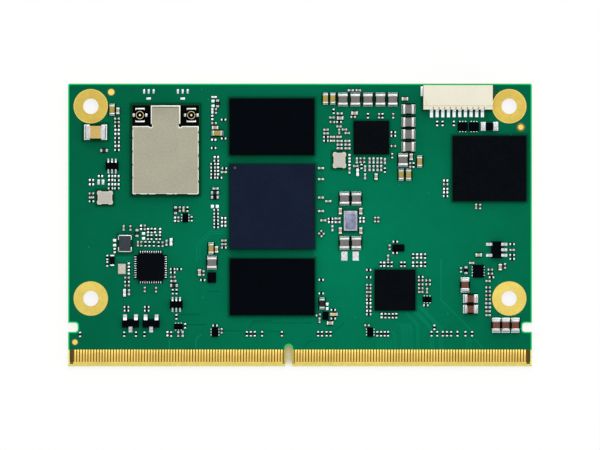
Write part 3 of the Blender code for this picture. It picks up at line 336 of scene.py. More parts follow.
def join(node, output, other, socket):
    """Leads an output of one node to a socket of another."""
    node.id_data.links.new(node.outputs[output], other.inputs[socket])


def ramp(nodes, *steps):
    """A colour ramp through the steps: a place from 0 to 1 and its colour."""
    node = made(nodes, "ValToRGB")
    elements = node.color_ramp.elements
    while len(elements) < len(steps):
        elements.new(0.5)
    for element, (place, colour) in zip(elements, steps):
        element.position = place
        element.color = (*colour, 1.0)
    return node


def product(nodes, links, colour, tint):
    """Two colours multiplied."""
    mix = made(nodes, "MixRGB", Fac=1.0)
    mix.blend_type = "MULTIPLY"
    links.new(colour, mix.inputs["Color1"])
    links.new(tint, mix.inputs["Color2"])
    return mix.outputs["Color"]


def finish(rgb, rough=0.5, metal=0.0, spec=0.4, vary=0.08, grain=2500.0, bump=0.15, patch=0.0):
    """A surface with fine mottling, a slow drift of tone, uneven roughness and a fine relief."""
    material = bpy.data.materials.new("finish")
    material.use_nodes = True
    nodes = material.node_tree.nodes
    links = material.node_tree.links
    shader = nodes["Principled BSDF"]
    settle(shader, Metallic=metal, Specular_IOR_Level=spec)
    place = made(nodes, "TexCoord")
    fine = made(nodes, "TexNoise", Scale=grain, Detail=5.0)
    slow = made(nodes, "TexNoise", Scale=260.0, Detail=3.0)
    colour = linear(*rgb)
    tone = ramp(nodes, (0.3, shade(colour, 1 - vary)), (0.7, shade(colour, 1 + vary)))
    drift = ramp(nodes, (0.35, [1 - patch] * 3), (0.65, [1.0] * 3))
    uneven = made(nodes, "MapRange", To_Min=max(0.03, rough - 0.07), To_Max=min(1.0, rough + 0.07))
    relief = made(nodes, "Bump", Strength=bump, Distance=0.02 * MM)
    join(place, "Object", fine, "Vector")
    join(place, "Object", slow, "Vector")
    join(fine, "Fac", tone, "Fac")
    join(slow, "Fac", drift, "Fac")
    mottled = product(nodes, links, tone.outputs["Color"], drift.outputs["Color"])
    links.new(mottled, shader.inputs["Base Color"])
    join(slow, "Fac", uneven, "Value")
    join(uneven, "Result", shader, "Roughness")
    join(fine, "Fac", relief, "Height")
    join(relief, "Normal", shader, "Normal")
    return material


def mask_finish(middle, rim):
    """Solder mask, a little paler round the middle of the board than towards its corners: partly the copper
    under it, partly painted shade towards the edges.
    """
    material = finish((255, 255, 255), 0.36, spec=0.015, vary=0.05, grain=1800.0, patch=0.06)
    nodes = material.node_tree.nodes
    links = material.node_tree.links
    shader = nodes["Principled BSDF"]
    before = shader.inputs["Base Color"].links[0].from_socket
    place = made(nodes, "TexCoord")
    spread = made(nodes, "Mapping")
    spread.vector_type = "TEXTURE"
    settle(spread, Location=(0.006, -0.003, 0.0), Scale=(0.062, 0.046, 1.0))
    fall = made(nodes, "TexGradient")
    fall.gradient_type = "SPHERICAL"
    tone = ramp(nodes, (0.1, linear(*rim)), (0.95, linear(*middle)))
    join(place, "Object", spread, "Vector")
    join(spread, "Vector", fall, "Vector")
    join(fall, "Fac", tone, "Fac")
    links.new(product(nodes, links, tone.outputs["Color"], before), shader.inputs["Base Color"])
    return material


def layered(rgb_a, rgb_b):
    """Cut edge of glass cloth: thin level bands and a woven grain."""
    material = finish(rgb_a, 0.6, vary=0.15, grain=3000.0, bump=0.3)
    nodes = material.node_tree.nodes
    links = material.node_tree.links
    place = made(nodes, "TexCoord")
    bands = made(nodes, "TexWave", Scale=1600.0, Distortion=1.5)
    bands.bands_direction = "Z"
    mix = made(nodes, "MixRGB", Color2=(*linear(*rgb_b), 1.0))
    strength = made(nodes, "MapRange", To_Max=0.6)
    shader = nodes["Principled BSDF"]
    before = shader.inputs["Base Color"].links[0].from_socket
    join(place, "Object", bands, "Vector")
    join(bands, "Fac", strength, "Value")
    join(strength, "Result", mix, "Fac")
    links.new(before, mix.inputs["Color1"])
    join(mix, "Color", shader, "Base Color")
    return material


def tin(rgb, rough=0.36, vary=0.24, patch=0.0, grain=3800.0, bump=0.9):
    """Tin or solder with a lumpy face."""
    return finish(rgb, rough, 1.0, vary=vary, grain=grain, bump=bump, patch=patch)


MATERIALS = {
    "mask": mask_finish((0, 120, 85), (0, 92, 62)),
    # Mask at the board's rim: paler over bare laminate, brightened as painted backlight
    "mask_rim_painted_backlight": finish((2, 186, 100), 0.38, spec=0.04, vary=0.08),
    "mask_trace": mask_finish((5, 134, 101), (3, 104, 74)),
    # Mask over grooves between copper fills, also used as painted shade round the large parts' feet
    "mask_groove_and_painted_shade": mask_finish((0, 106, 74), (0, 77, 50)),
    "mask_dot": finish((30, 140, 112), 0.4, spec=0.05),
    # Painted shade: darker mask close to the large parts' feet
    "mask_painted_shade": mask_finish((0, 82, 54), (0, 58, 36)),
    # Mask opening round pads and part feet, drawn near black as painted contact shade
    "clearance_painted_shade": finish((0, 34, 20), 0.5, spec=0.02, vary=0.2, grain=3500.0),
    "laminate": layered((228, 222, 122), (196, 190, 92)),
    "bare_laminate": finish((104, 72, 28), 0.6, spec=0.03, vary=0.2, grain=3500.0),
    "slot_edge": finish((180, 168, 70), 0.6, spec=0.03, vary=0.15, grain=3500.0),
    "bare_end": finish((76, 68, 40), 0.6, spec=0.03, vary=0.2, grain=3500.0),
    "gold": finish((198, 172, 82), 0.38, 1.0, vary=0.05, grain=1500.0, bump=0.3, patch=0.12),
    # Paler gold for the lower rings: painted light
    "gold_painted_light": finish((217, 194, 97), 0.38, 1.0, vary=0.05, grain=1500.0, bump=0.3, patch=0.12),
    "gold_edge": finish((226, 200, 106), 0.3, 1.0, vary=0.05),
    "gold_finger": finish((232, 198, 102), 0.3, 1.0, vary=0.06, grain=900.0, patch=0.08),
    "collar": finish((246, 226, 178), 0.3, 1.0, vary=0.2, grain=3000.0, patch=0.2),
    "pin_gold": finish((250, 226, 160), 0.3, 1.0, vary=0.08),
    "ring_tan": finish((130, 106, 50), 0.5, spec=0.05, vary=0.15),
    # Dark line: a seam at the caps' ends, and painted shade inside the can's upper rim
    "dark_seam_and_painted_shade": finish((92, 90, 86), 0.5, 0.4, vary=0.3, grain=3800.0, bump=0.6),
    "cap_tin": tin((196, 196, 198), vary=0.2, patch=0.12),
    "solder": tin((228, 236, 236), 0.3, 0.14, grain=3500.0, bump=0.8),
    "end_dull": tin((190, 203, 201), patch=0.08),
    "end_dark": tin((174, 183, 183), vary=0.3, patch=0.1),
    "end_plain": tin((208, 212, 210), patch=0.08),
    "end_tin": tin((220, 230, 230), 0.34, 0.16, 0.06),
    "lead_grey": tin((204, 205, 208), vary=0.3, patch=0.15, grain=3400.0),
    # Tin of the right header tab, drawn dark as painted shade
    "tab_painted_shade": finish((48, 78, 58), 0.5, spec=0.05, vary=0.2, grain=3000.0),
    "lead_tin": tin((224, 232, 234), 0.3, 0.12, grain=2200.0, bump=0.6),
    "body_black": finish((8, 7, 9), 0.45, spec=0.03, vary=0.25),
    "body_slate": finish((38, 45, 45), 0.45, spec=0.03, vary=0.25),
    "body_brown": finish((94, 84, 74), 0.5, spec=0.06, vary=0.15),
    "body_brown_deep": finish((109, 71, 56), 0.48, spec=0.06, vary=0.1, patch=0.12),
    "body_sand": finish((153, 150, 136), 0.5, spec=0.08, vary=0.14),
    "body_orange": finish((196, 176, 146), 0.5, spec=0.08, vary=0.12),
    "body_pale": finish((216, 216, 220), 0.45, spec=0.1, vary=0.12),
    "body_mist": finish((118, 123, 125), 0.5, spec=0.08, vary=0.14),
    "body_khaki": finish((163, 160, 139), 0.5, spec=0.08, vary=0.12),
    "body_mustard": finish((163, 144, 78), 0.5, spec=0.08, vary=0.14),
    "body_olive": finish((36, 34, 30), 0.5, spec=0.08, vary=0.2),
    "body_grey": finish((118, 114, 112), 0.5, spec=0.08, vary=0.1, grain=3500.0, patch=0.12),
    "body_amber": finish((202, 190, 122), 0.35, spec=0.2, vary=0.1),
    "body_tan": finish((204, 174, 104), 0.5, spec=0.08, vary=0.08, patch=0.1),
    "package": finish((2, 5, 11), 0.5, spec=0.015, vary=0.35, grain=3400.0, bump=0.3, patch=0.25),
    "package_soft": finish((6, 9, 14), 0.5, spec=0.015, vary=0.35, grain=3400.0, bump=0.3, patch=0.2),
    "navy": finish((21, 29, 48), 0.5, spec=0.015, vary=0.14, grain=3400.0, bump=0.3, patch=0.12),
    "pin_mark": finish((84, 88, 62), 0.6, spec=0.05, vary=0.1),
    "substrate": finish((8, 22, 20), 0.5, spec=0.05, vary=0.2),
    "wireless": finish((4, 6, 3), 0.45, spec=0.015, vary=0.3),
    "wireless_edge": finish((30, 74, 24), 0.6, spec=0.03, vary=0.2),
    "can": finish((157, 155, 136), 0.42, 0.75, spec=0.3, vary=0.07, grain=2600.0, bump=0.5, patch=0.04),
    # The can's rim, the same tin as its top, drawn paler as a painted highlight
    "can_rim_painted_highlight": finish((222, 222, 214), 0.35, 0.8, vary=0.06),
    "gap_dark": finish((40, 52, 36), 0.6, spec=0.05, vary=0.3),
    "cream": finish((226, 222, 203), 0.45, spec=0.1, vary=0.02, grain=1500.0, patch=0.03),
    # The housing's lower back ledge: the same plastic, drawn darker as painted shade
    "cream_painted_shade": finish((224, 219, 197), 0.5, spec=0.1, vary=0.03),
    "cream_gate": finish((222, 204, 110), 0.5, spec=0.1, vary=0.06),
    "lid": finish((184, 180, 172), 0.42, 0.3, spec=0.2, vary=0.05, patch=0.08),
    "ceramic": finish((202, 196, 182), 0.55, spec=0.1, vary=0.08),
    "lavender": finish((128, 131, 155), 0.36, 0.5, spec=0.1, vary=0.5, grain=800.0, patch=0.25),
    "silver": finish((188, 192, 200), 0.36, 0.8, spec=0.1, vary=0.15, grain=1600.0),
    "silver_top": finish((150, 154, 170), 0.4, 0.6, spec=0.1, vary=0.4, grain=1200.0, patch=0.15),
    "beige": finish((190, 184, 170), 0.45, 0.2, spec=0.1, vary=0.2, grain=3000.0, patch=0.1),
    "slate": finish((56, 63, 69), 0.5, spec=0.05, vary=0.14, patch=0.15),
}
for name, material in MATERIALS.items():
    material.name = name


# Shapes, drawn in millimetres


def block(length, width, height, radius=0.04, segments=2, base=0.0, taper=0.0):
    """A block with rounded edges that stands on its base level, narrower at its top by the taper."""
    shape = bmesh.new()
    matrix = Matrix.Translation((0, 0, base + height / 2)) @ Matrix.Diagonal((length, width, height, 1))
    bmesh.ops.create_cube(shape, size=1.0, matrix=matrix)
    for v in shape.verts:
        if v.co.z > base + height / 2:
            v.co.x -= math.copysign(taper, v.co.x)
            v.co.y -= math.copysign(taper, v.co.y)
    if radius:
        edges = list(shape.edges)
        bmesh.ops.bevel(shape, geom=edges, offset=radius, segments=segments, affect="EDGES", profile=0.6)
    return take(shape)


def take(shape):
    """The points and faces of a bmesh, which is then freed."""
    bmesh.ops.recalc_face_normals(shape, faces=shape.faces)
    shape.verts.index_update()
    points = np.array([v.co[:] for v in shape.verts])
    faces = [[v.index for v in f.verts] for f in shape.faces]
    shape.free()
    return points, faces


def turned(profile, segments=32):
    """A body of revolution about Z from (radius, level) pairs, given from inside round to the outside."""
    points = []
    for i in range(segments):
        turn = 2 * math.pi * i / segments
        points += [(r * math.cos(turn), r * math.sin(turn), z) for r, z in profile]
    count = len(profile)
    faces = []
    for i in range(segments):
        after = (i + 1) % segments
        for j in range(count):
            k = (j + 1) % count
            faces.append([i * count + j, after * count + j, after * count + k, i * count + k])
    return np.array(points), faces


def ring(inner, outer, low, high, soft=0.03, segments=32):
    """A flat ring whose upper edges are chamfered."""
    top = [(outer, high - soft), (outer - soft, high), (inner + soft, high), (inner, high - soft)]
    return turned([(inner, low), (outer, low), *top], segments)


def disc(radius, low, high, soft=0.02, segments=20):
    """A round plate, narrower at its top by the soft edge."""
    shape = bmesh.new()
    lift = Matrix.Translation((0, 0, (low + high) / 2))
    sizes = {"radius1": radius, "radius2": radius - soft, "depth": high - low}
    bmesh.ops.create_cone(shape, cap_ends=True, segments=segments, matrix=lift, **sizes)
    return take(shape)


def prism(outline, low, high, soft=0.0):
    """An outline raised from one level to another, with its upper rim chamfered."""
    shape = bmesh.new()
    base = [shape.verts.new((x, y, low)) for x, y in outline]
    face = shape.faces.new(base)
    raised = bmesh.ops.extrude_face_region(shape, geom=[face])
    moved = [v for v in raised["geom"] if isinstance(v, bmesh.types.BMVert)]
    bmesh.ops.translate(shape, verts=moved, vec=(0, 0, high - low))
    if soft:
        rim = [e for e in shape.edges if all(v.co.z > (low + high) / 2 for v in e.verts)]
        bmesh.ops.bevel(shape, geom=rim, offset=soft, segments=2, affect="EDGES", profile=0.6)
    return take(shape)


def film(length, width, height=0.006):
    """A thin flat layer on the board."""
    return block(length, width, height, 0.0, base=TOP - 0.001)


def arc(x, y, radius, start, end, steps):
    """Points along an arc round (x, y), from one angle in degrees to another."""
    turns = [math.radians(start + (end - start) * i / steps) for i in range(steps + 1)]
    return [(x + radius * math.cos(turn), y + radius * math.sin(turn)) for turn in turns]


def at(x, y, z=0.0, angle=0.0):
    """A place with a turn about Z in degrees."""
    return Matrix.Translation((x, y, z)) @ Matrix.Rotation(math.radians(angle), 4, "Z")


class Piece:
    """Gathers placed shapes into one object, with a material for each."""

    def __init__(self, name):
        self.name = name
        self.points = []
        self.faces = []
        self.slots = []
        self.names = []
        self.count = 0

    def add(self, shape, material, matrix=None):
        """Adds a shape at a place."""
        points, faces = shape
        if matrix is not None:
            turn = np.array(matrix)
            points = points @ turn[:3, :3].T + turn[:3, 3]
        if material not in self.names:
            self.names.append(material)
        self.points.append(points)
        self.faces += [[i + self.count for i in face] for face in faces]
        self.slots += [self.names.index(material)] * len(faces)
        self.count += len(points)
        return self

    def make(self, slot, replaced=(), angle=35):
        """Makes the object, which stands in for the CAD nodes that it replaces."""
        mesh = bpy.data.meshes.new(self.name)
        mesh.from_pydata((np.concatenate(self.points) * MM).tolist(), [], self.faces)
        for name in self.names:
            mesh.materials.append(MATERIALS[name])
        mesh.polygons.foreach_set("material_index", self.slots)
        mesh.shade_smooth()
        mesh.set_sharp_from_angle(angle=math.radians(angle))
        mesh.update()
        obj = bpy.data.objects.new(self.name, mesh)
        bpy.context.scene.collection.objects.link(obj)
        normals = obj.modifiers.new("normals", "WEIGHTED_NORMAL")
        normals.keep_sharp = True
        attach(obj, "root")
        if replaced:
            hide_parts(*replaced)
        return obj


# The board


def board_outline(inset=0.0, low=-HALF_WIDTH):
    """The board's edge drawn in by an inset, from a lower level up."""
    right = HALF_LENGTH - inset
    top = HALF_WIDTH - inset
    slot = KEY_HALF + inset
    slot_round = KEY_DEPTH - HALF_WIDTH - KEY_HALF
    notch_low = -18.9 - inset
    notch_high = -17.3 + inset
    radius = 0.5 + inset / 2
    end = 39.3 - inset + radius
    corner = 0.3
    return [
        (-right, low),
        (KEY_X - slot, low),
        *arc(KEY_X, slot_round, slot, 180, 0, 20),
        (KEY_X + slot, low),
        (right, low),
        (right, notch_low),
        *arc(end, notch_low + radius, radius, 270, 180, 8),
        *arc(end, notch_high - radius, radius, 180, 90, 8),
        (right, notch_high),
        *arc(right - corner, top - corner, corner, 0, 90, 6),
        *arc(-right + corner, top - corner, corner, 90, 180, 6),
        (-right, notch_high),
        *arc(-end, notch_high - radius, radius, 90, 0, 8),
        *arc(-end, notch_low + radius, radius, 0, -90, 8),
        (-right, notch_low),
    ]


def cut(obj, name, shapes):
    """Cuts the shapes from an object, and leaves no guide behind."""
    tool = Piece(name)
    for shape in shapes:
        tool.add(shape, "laminate")
    mesh = bpy.data.meshes.new(name)
    mesh.from_pydata((np.concatenate(tool.points) * MM).tolist(), [], tool.faces)
    guide = bpy.data.objects.new(name, mesh)
    bpy.context.scene.collection.objects.link(guide)
    modifier = obj.modifiers.new(name, "BOOLEAN")
    modifier.operation = "DIFFERENCE"
    modifier.solver = "EXACT"
    modifier.use_self = True
    modifier.object = guide
    bpy.context.view_layer.update()
    result = bpy.data.meshes.new_from_object(obj.evaluated_get(bpy.context.evaluated_depsgraph_get()))
    obj.modifiers.remove(modifier)
    old = obj.data
    obj.data = result
    bpy.data.meshes.remove(old)
    bpy.data.objects.remove(guide)


def bore_pegs():
    """The shapes that cut the four bores."""
    return [translated(disc(BORE, -1.0, 3.0, 0.0, 48), x, y) for x, y in HOLES]


def translated(shape, x, y, z=0.0):
    """A shape moved."""
    points, faces = shape
    return points + np.array((x, y, z)), faces


def wedge(level, side):
    """A long wedge that bevels the card edge by 45 degrees at one face, from 0.4 mm inside the edge."""
    end, outer, inner = HALF_LENGTH + 2.0, 1.0 + HALF_WIDTH, HALF_WIDTH - 1.4
    points = [
        (-end, -outer, level - side * 1.4),
        (-end, -inner, level + side * 1.0),
        (-end, -outer, level + side * 1.0),
    ]
    points += [(end, y, z) for _, y, z in points]
    faces = [[0, 1, 2], [5, 4, 3], [0, 3, 4, 1], [1, 4, 5, 2], [2, 5, 3, 0]]
    shape = bmesh.new()
    verts = [shape.verts.new(p) for p in points]
    for face in faces:
        shape.faces.new([verts[i] for i in face])
    return take(shape)


def board():
    """Laminate core with a mask layer on each face, its paler rim, where the mask lies on bare laminate,
    brightened as painted backlight through it, and the bare strip under the fingers.
    """
    core = Piece("laminate").add(prism(board_outline(), 0.03, 1.17), "laminate")
    core = core.make("solder_mask", ["printed_board"])
    cut(core, "core_cuts", bore_pegs() + [wedge(TOP, 1), wedge(0.0, -1)])
    for name, low, high, inset in (
        ("mask_rim_upper", 1.165, 1.185, 0.0),
        ("mask_upper", 1.18, 1.2, 0.24),
        ("mask_rim_lower", 0.02, 0.035, 0.0),
        ("mask_lower", 0.01, 0.03, 0.24),
    ):
        # The rim layers are drawn bright: painted backlight through the laminate edge
        material = "mask" if inset else "mask_rim_painted_backlight"
        layer = Piece(name).add(prism(board_outline(inset, -22.04), low, high), material)
        layer = layer.make("solder_mask")
        cut(layer, name + "_cuts", bore_pegs())
    strips = Piece("bare_strip")
    for low, high in ((1.165, 1.178), (0.022, 0.035)):
        for left, right in ((-40.68, KEY_X - 1.0), (KEY_X + 1.0, 40.68)):
            strip = block(right - left, 2.55, high - low, 0.0, base=low)
            strips.add(strip, "bare_laminate", at((left + right) / 2, -23.3))
        end = block(0.56, 2.12, high - low + 0.004, 0.0, base=low)
        dark = block(0.14, 2.5, high - low + 0.002, 0.0, base=low)
        pale = block(0.27, 2.57, high - low - 0.002, 0.0, base=low)
        for side in (-1, 1):
            strips.add(end, "bare_end", at(side * 40.46, -23.1))
            strips.add(dark, "bare_laminate", at(KEY_X + 0.02 + side * 0.96, -23.28))
            strips.add(pale, "slot_edge", at(KEY_X + side * 0.74, -23.33))
    strips.make("solder_mask")


def copper():
    """Rings round the holes with plated walls, edge fingers, alignment dots and small through-plated dots."""
    lands = Piece("screw_lands")
    for x, y in HOLES:
        # The lower rings take a paler gold as painted light
        land = "gold" if y > 0 else "gold_painted_light"
        lands.add(ring(BORE, 3.02, TOP - 0.01, TOP + 0.04, 0.02, 64), land, at(x, y))
        lands.add(ring(2.88, 3.05, TOP - 0.01, COPPER, 0.03, 64), "gold_edge", at(x, y))
        lands.add(ring(BORE, 3.02, 0.0, 0.03, 0.01, 64), "gold", at(x, y))
        lands.add(ring(BORE - 0.015, BORE + 0.02, 0.0, TOP + 0.04, 0.01, 64), "gold", at(x, y))
    lands.make("gold")
    upper = Piece("fingers_upper")
    lower = Piece("fingers_lower")
    finger = block(0.33, 2.2, 0.07, 0.03, 2, base=TOP - 0.02)
    under = block(0.35, 2.25, 0.035, 0.0, 1)
    for i in range(160):
        x = (i - 79.5) * FINGER_PITCH
        if abs(x - KEY_X) > 1.1:
            upper.add(finger, "gold_finger", at(x, FINGER_Y))
        if abs(x - KEY_X + FINGER_PITCH / 2) > 0.9:
            lower.add(under, "gold_finger", at(x, FINGER_Y + 0.02))
    for left, right in ((-40.1, KEY_X - 1.05), (KEY_X + 1.05, 40.05)):
        bar = block(right - left, 0.34, 0.04, 0.015, 1, base=TOP - 0.025)
        upper.add(bar, "gold_finger", at((left + right) / 2, FINGER_Y - 1.24))
    upper.make("gold")
    lower.make("gold")
    marks = Piece("alignment_dots")
    for x, y, inner, outer in FIDUCIALS:
        marks.add(disc(inner, TOP - 0.01, TOP + 0.025, 0.02, 32), "gold_edge", at(x, y))
        marks.add(ring(inner - 0.01, outer, TOP - 0.01, TOP + 0.004, 0.003, 32), "ring_tan", at(x, y))
    marks.make("gold")
    dots = Piece("plated_dots")
    for x, y in VIAS:
        dots.add(ring(0.04, 0.11, TOP - 0.01, TOP + 0.012, 0.01, 12), "mask_dot", at(x, y))
    dots.make("solder_mask")


def trace(points, width):
    """A flat run along a line of points, with mitred corners."""
    line = [np.array(p, float) for p in points]
    left, right = [], []
    for i, p in enumerate(line):
        before = line[i] - line[i - 1] if i else line[1] - line[0]
        after = line[i + 1] - line[i] if i + 1 < len(line) else before
        before, after = before / np.linalg.norm(before), after / np.linalg.norm(after)
        normal = np.array([-(before + after)[1], (before + after)[0]])
        normal /= np.linalg.norm(normal)
        reach = width / 2 / max(0.3, normal @ np.array([-after[1], after[0]]))
        left.append(tuple(p + normal * reach))
        right.append(tuple(p - normal * reach))
    return prism(right + left[::-1], TOP - 0.003, TOP + 0.003)


def traces():
    """Runs of copper that show faintly through the mask."""
    runs = Piece("masked_traces")
    for points, width, count, step in RUNS:
        for i in range(count):
            dx, dy = step[0] * i, step[1] * i
            runs.add(trace([(x + dx, y + dy) for x, y in points], width), "mask_trace")
    for points, width in SUNK_RUNS:
        runs.add(trace(points, width), "mask_groove_and_painted_shade")
    runs.make("solder_mask")


def pad(length, width, height=0.03):
    """A soldered pad with a domed face."""
    return block(length, width, height, min(height * 0.9, 0.025), 2, base=TOP - 0.005)


def shadow_bands():
    """Painted shade: darker mask round the feet of the large parts, where little light reaches it, and
    between the processor and the memories.
    """
    bands = Piece("painted_shade_on_mask")
    # Painted shade: dark strips of mask in the gaps between the processor and the two memories
    for y in (11.57, -5.09):
        bands.add(film(15.0, 0.8, 0.003), "mask_groove_and_painted_shade", at(-4.92, y))
    for i, name in enumerate(SHADED):
        x, y, length, width = SHADED_PLACES.get(name, PLACES[name][:4])
        spot = at(x, y, LAYER_STEP * (i + 1))
        bands.add(film(length + 0.9, width + 0.9, 0.003), "mask_groove_and_painted_shade", spot)
        bands.add(film(length + 0.4, width + 0.4, 0.005), "mask_painted_shade", spot)
    bands.make("solder_mask")


def bare_pads():
    """Pads without a part: pairs on a dark mask opening drawn as painted contact shade, and single wide ones.
    """
    pads = Piece("bare_pads")
    small = pad(0.32, 0.37, 0.07)
    around = film(1.2, 0.62)
    for places, angle in ((BARE_ACROSS, 0), (BARE_UPRIGHT, 90)):
        for i, (x, y) in enumerate(places):
            # Painted contact shade: a dark film round each pair
            pads.add(around, "clearance_painted_shade", at(x, y, -LAYER_STEP * (i % 5 + 1), angle))
            for side in (-1, 1):
                pads.add(small, "solder", at(x, y, 0, angle) @ at(side * 0.3, 0))
    for x, y, length, width in WIDE_PADS:
        pads.add(pad(length, width, 0.06), "lead_grey" if width > 0.7 else "solder", at(x, y))
    pads.make("tin")


# Soldered parts


def cap_outline(length, width, bulge):
    """An end cap in plan, its inner edge bowed towards the middle of the part."""
    turns = np.linspace(1.5708, -1.5708, 9)
    inner = [(-length / 2 - bulge * math.cos(turn), width / 2 * math.sin(turn)) for turn in turns]
    return [(length / 2, -width / 2), (length / 2, width / 2), *inner]


def fillet(reach, width, height):
    """Solder that slopes from an end face down to the pad, drawn outwards along X."""
    side = [(0.0, 0.0), (reach, 0.0), (reach, 0.03), (reach * 0.45, height * 0.4), (0.0, height)]
    points, faces = prism(side, -width / 2, width / 2)
    return points[:, [0, 2, 1]], [face[::-1] for face in faces]


def two_ended(piece, spot, size, body, metal, low=TOP, foot=0.0, bulge=0.0):
    """A small part with a body between two metal ends that wrap round it, and solder at its feet."""
    length, width, height, end = size
    end -= foot
    round_off = min(0.16, height * 0.2) if width > 0.7 else 0.05
    span = length - 2 * (end + foot) + 0.12 + bulge
    middle = block(span, width * 0.88, height - 0.05, min(0.04, height * 0.05), 2, base=low)
    if bulge:
        cap = prism(cap_outline(end, width, bulge), low, low + height, round_off)
    else:
        cap = block(end, width, height, round_off, 3, base=low)
    piece.add(middle, body, spot)
    for side in (0, 180):
        turned_end = spot @ at(0, 0, 0, side) @ at(length / 2 - foot - end / 2, 0)
        piece.add(cap, metal, turned_end)
        if foot:
            slope = translated(fillet(foot, width * 0.94, height * 0.3), end / 2 - 0.01, 0, low)
            piece.add(slope, "solder", turned_end)
            line = block(0.06, width * 0.9, height * 0.72, 0.0, base=low)
            piece.add(line, "dark_seam_and_painted_shade", turned_end @ at(end / 2 + 0.02, 0))


def soldered_parts():
    """Every small part stands on its own pads, gathered by kind."""
    pieces = {}
    pads = Piece("part_pads")
    count = 0
    for kind, angle, places in PARTS:
        length, width, height, end, body, metal = KINDS[kind]
        piece = pieces.setdefault(kind, Piece(kind + "_parts"))
        foot = pad(end * 1.1, width - 0.04)
        spread = 0.16 if width < 0.5 else 0.3 if width < 0.9 else 0.42
        around = film(length + 0.2, width + spread)
        toe = {"grey": 0.18, "tan": 0.14}.get(kind, 0.0)
        for x, y in places:
            spot = at(x, y, 0, angle)
            colour = OTHER_BODIES.get((x, y), body)
            two_ended(piece, spot, (length, width, height, end), colour, metal, TOP, toe)
            # Painted contact shade: a dark film round each part's feet
            pads.add(around, "clearance_painted_shade", at(x, y, LAYER_STEP * (count % 7), angle))
            count += 1
            for side in (-1, 1):
                pads.add(foot, "solder", spot @ at(side * (length - end) / 2, 0))
    for piece in pieces.values():
        piece.make("tin")
    pads.make("tin")


def large_parts():
    """The six brown capacitors, the tan one, the diode and the fuse."""
    low = TOP + SEAT
    for i in range(6):
        name = f"ceramic_capacitor_{i + 1}"
        x, y, length, width, _ = PLACES[name]
        angle = 90 if width > length else 0
        spot = at(x, y, 0, angle)
        piece = Piece(f"brown_capacitor_{i + 1}")
        two_ended(piece, spot, (2.5, 1.38, 1.6, 0.62), "body_brown_deep", "cap_tin", low, 0.16, 0.1)
        # Painted contact shade: a dark film under the capacitor
        piece.add(film(2.75, 1.86), "clearance_painted_shade", at(x, y, 1.5 * LAYER_STEP * i, angle))
        foot = block(0.74, 1.5, 0.1, 0.05, 2, base=TOP + 0.006)
        for side in (-1, 1):
            piece.add(foot, "solder", spot @ at(side * 0.94, 0))
        piece.make("brown_ceramic", [name])
    x, y = PLACES["bulk_capacitor"][:2]
    piece = Piece("tan_bulk_capacitor")
    two_ended(piece, at(x, y), (3.85, 2.5, 2.0, 0.85), "body_tan", "cap_tin", low, 0.2, 0.2)
    foot = block(1.02, 2.7, 0.1, 0.05, 2, base=TOP + 0.006)
    for side in (-1, 1):
        piece.add(foot, "solder", at(x + side * 1.52, y))
    piece.make("tan_ceramic", ["bulk_capacitor"])
    x, y, width, length, height = PLACES["diode"]
    piece = Piece("diode_parts")
    two_ended(piece, at(x, y, 0, 90), (length, width, height, 0.3), "package", "end_tin", low)
    piece.add(block(1.3, 0.88, height - 0.04, 0.06, 2, base=low), "package_soft", at(x, y, 0, 90))
    piece.make("package", ["diode"])
    x, y = PLACES["fuse"][:2]
    piece = Piece("fuse_parts")
    piece.add(block(1.3, 1.3, 0.8, 0.05, 2, base=low), "package", at(x, y))
    for side in (-1, 1):
        piece.add(block(0.72, 1.4, 0.88, 0.12, 3, base=low), "cap_tin", at(x + side * 1.04, y))
        piece.add(block(0.95, 1.62, 0.5, 0.1, 3, base=low), "solder", at(x + side * 1.07, y))
    piece.make("package", ["fuse"])


# Packages


def ball_package(name, material, pitch):
    """A moulded block on a thin substrate, with two outer rows of balls between it and the board."""
    x, y, length, width, height = PLACES[name]
    low = TOP + 0.25
    piece = Piece(name + "_package")
    piece.add(block(length, width, 0.2, 0.02, 1, base=low), "substrate", at(x, y))
    piece.add(block(length - 0.04, width - 0.04, height - 0.19, 0.08, 3, base=low + 0.19), material, at(x, y))
    shape = bmesh.new()
    bmesh.ops.create_icosphere(shape, subdivisions=2, radius=0.16)
    ball = take(shape)
    across = int((length - 0.9) / pitch)
    along = int((width - 0.9) / pitch)
    for i in range(across + 1):
        for j in range(along + 1):
            if min(i, j, across - i, along - j) < 2:
                spot = at(x + (i - across / 2) * pitch, y + (j - along / 2) * pitch, TOP + 0.15)
                piece.add(ball, "solder", spot)
    if name == "processor":
        mark = disc(0.2, low + height - 0.02, low + height + 0.003, 0.0, 20)
        piece.add(mark, "pin_mark", at(x - 6.6, y + 6.85))
    piece.make("processor" if name == "processor" else "package", [name])


def flat_package(name):
    """A moulded body low on the board, with a dark film at its foot as painted contact shade."""
    x, y, length, width, height = PLACES[name]
    length, width = BODIES.get(name, (length, width))
    material = "package_soft" if length > 5 else "package"
    piece = Piece(name + "_body")
    piece.add(block(length, width, height, 0.07, 3, base=TOP + SEAT, taper=0.015), material, at(x, y))
    # Painted contact shade: a dark film just wider than the body
    piece.add(film(length + 0.18, width + 0.18, 0.008), "package", at(x, y))
    piece.make("package", [name])


def ticks(piece, x, y, angle, count, pitch, reach, length, width, height, material):
    """A row of solder ticks on two opposite sides."""
    tick = block(width, length, height, min(0.04, width * 0.25), 2, base=TOP)
    for i in range(count):
        for side in (-1, 1):
            offset = (i - (count - 1) / 2) * pitch
            piece.add(tick, material, at(x, y, 0, angle) @ at(offset, side * (reach - length / 2)))


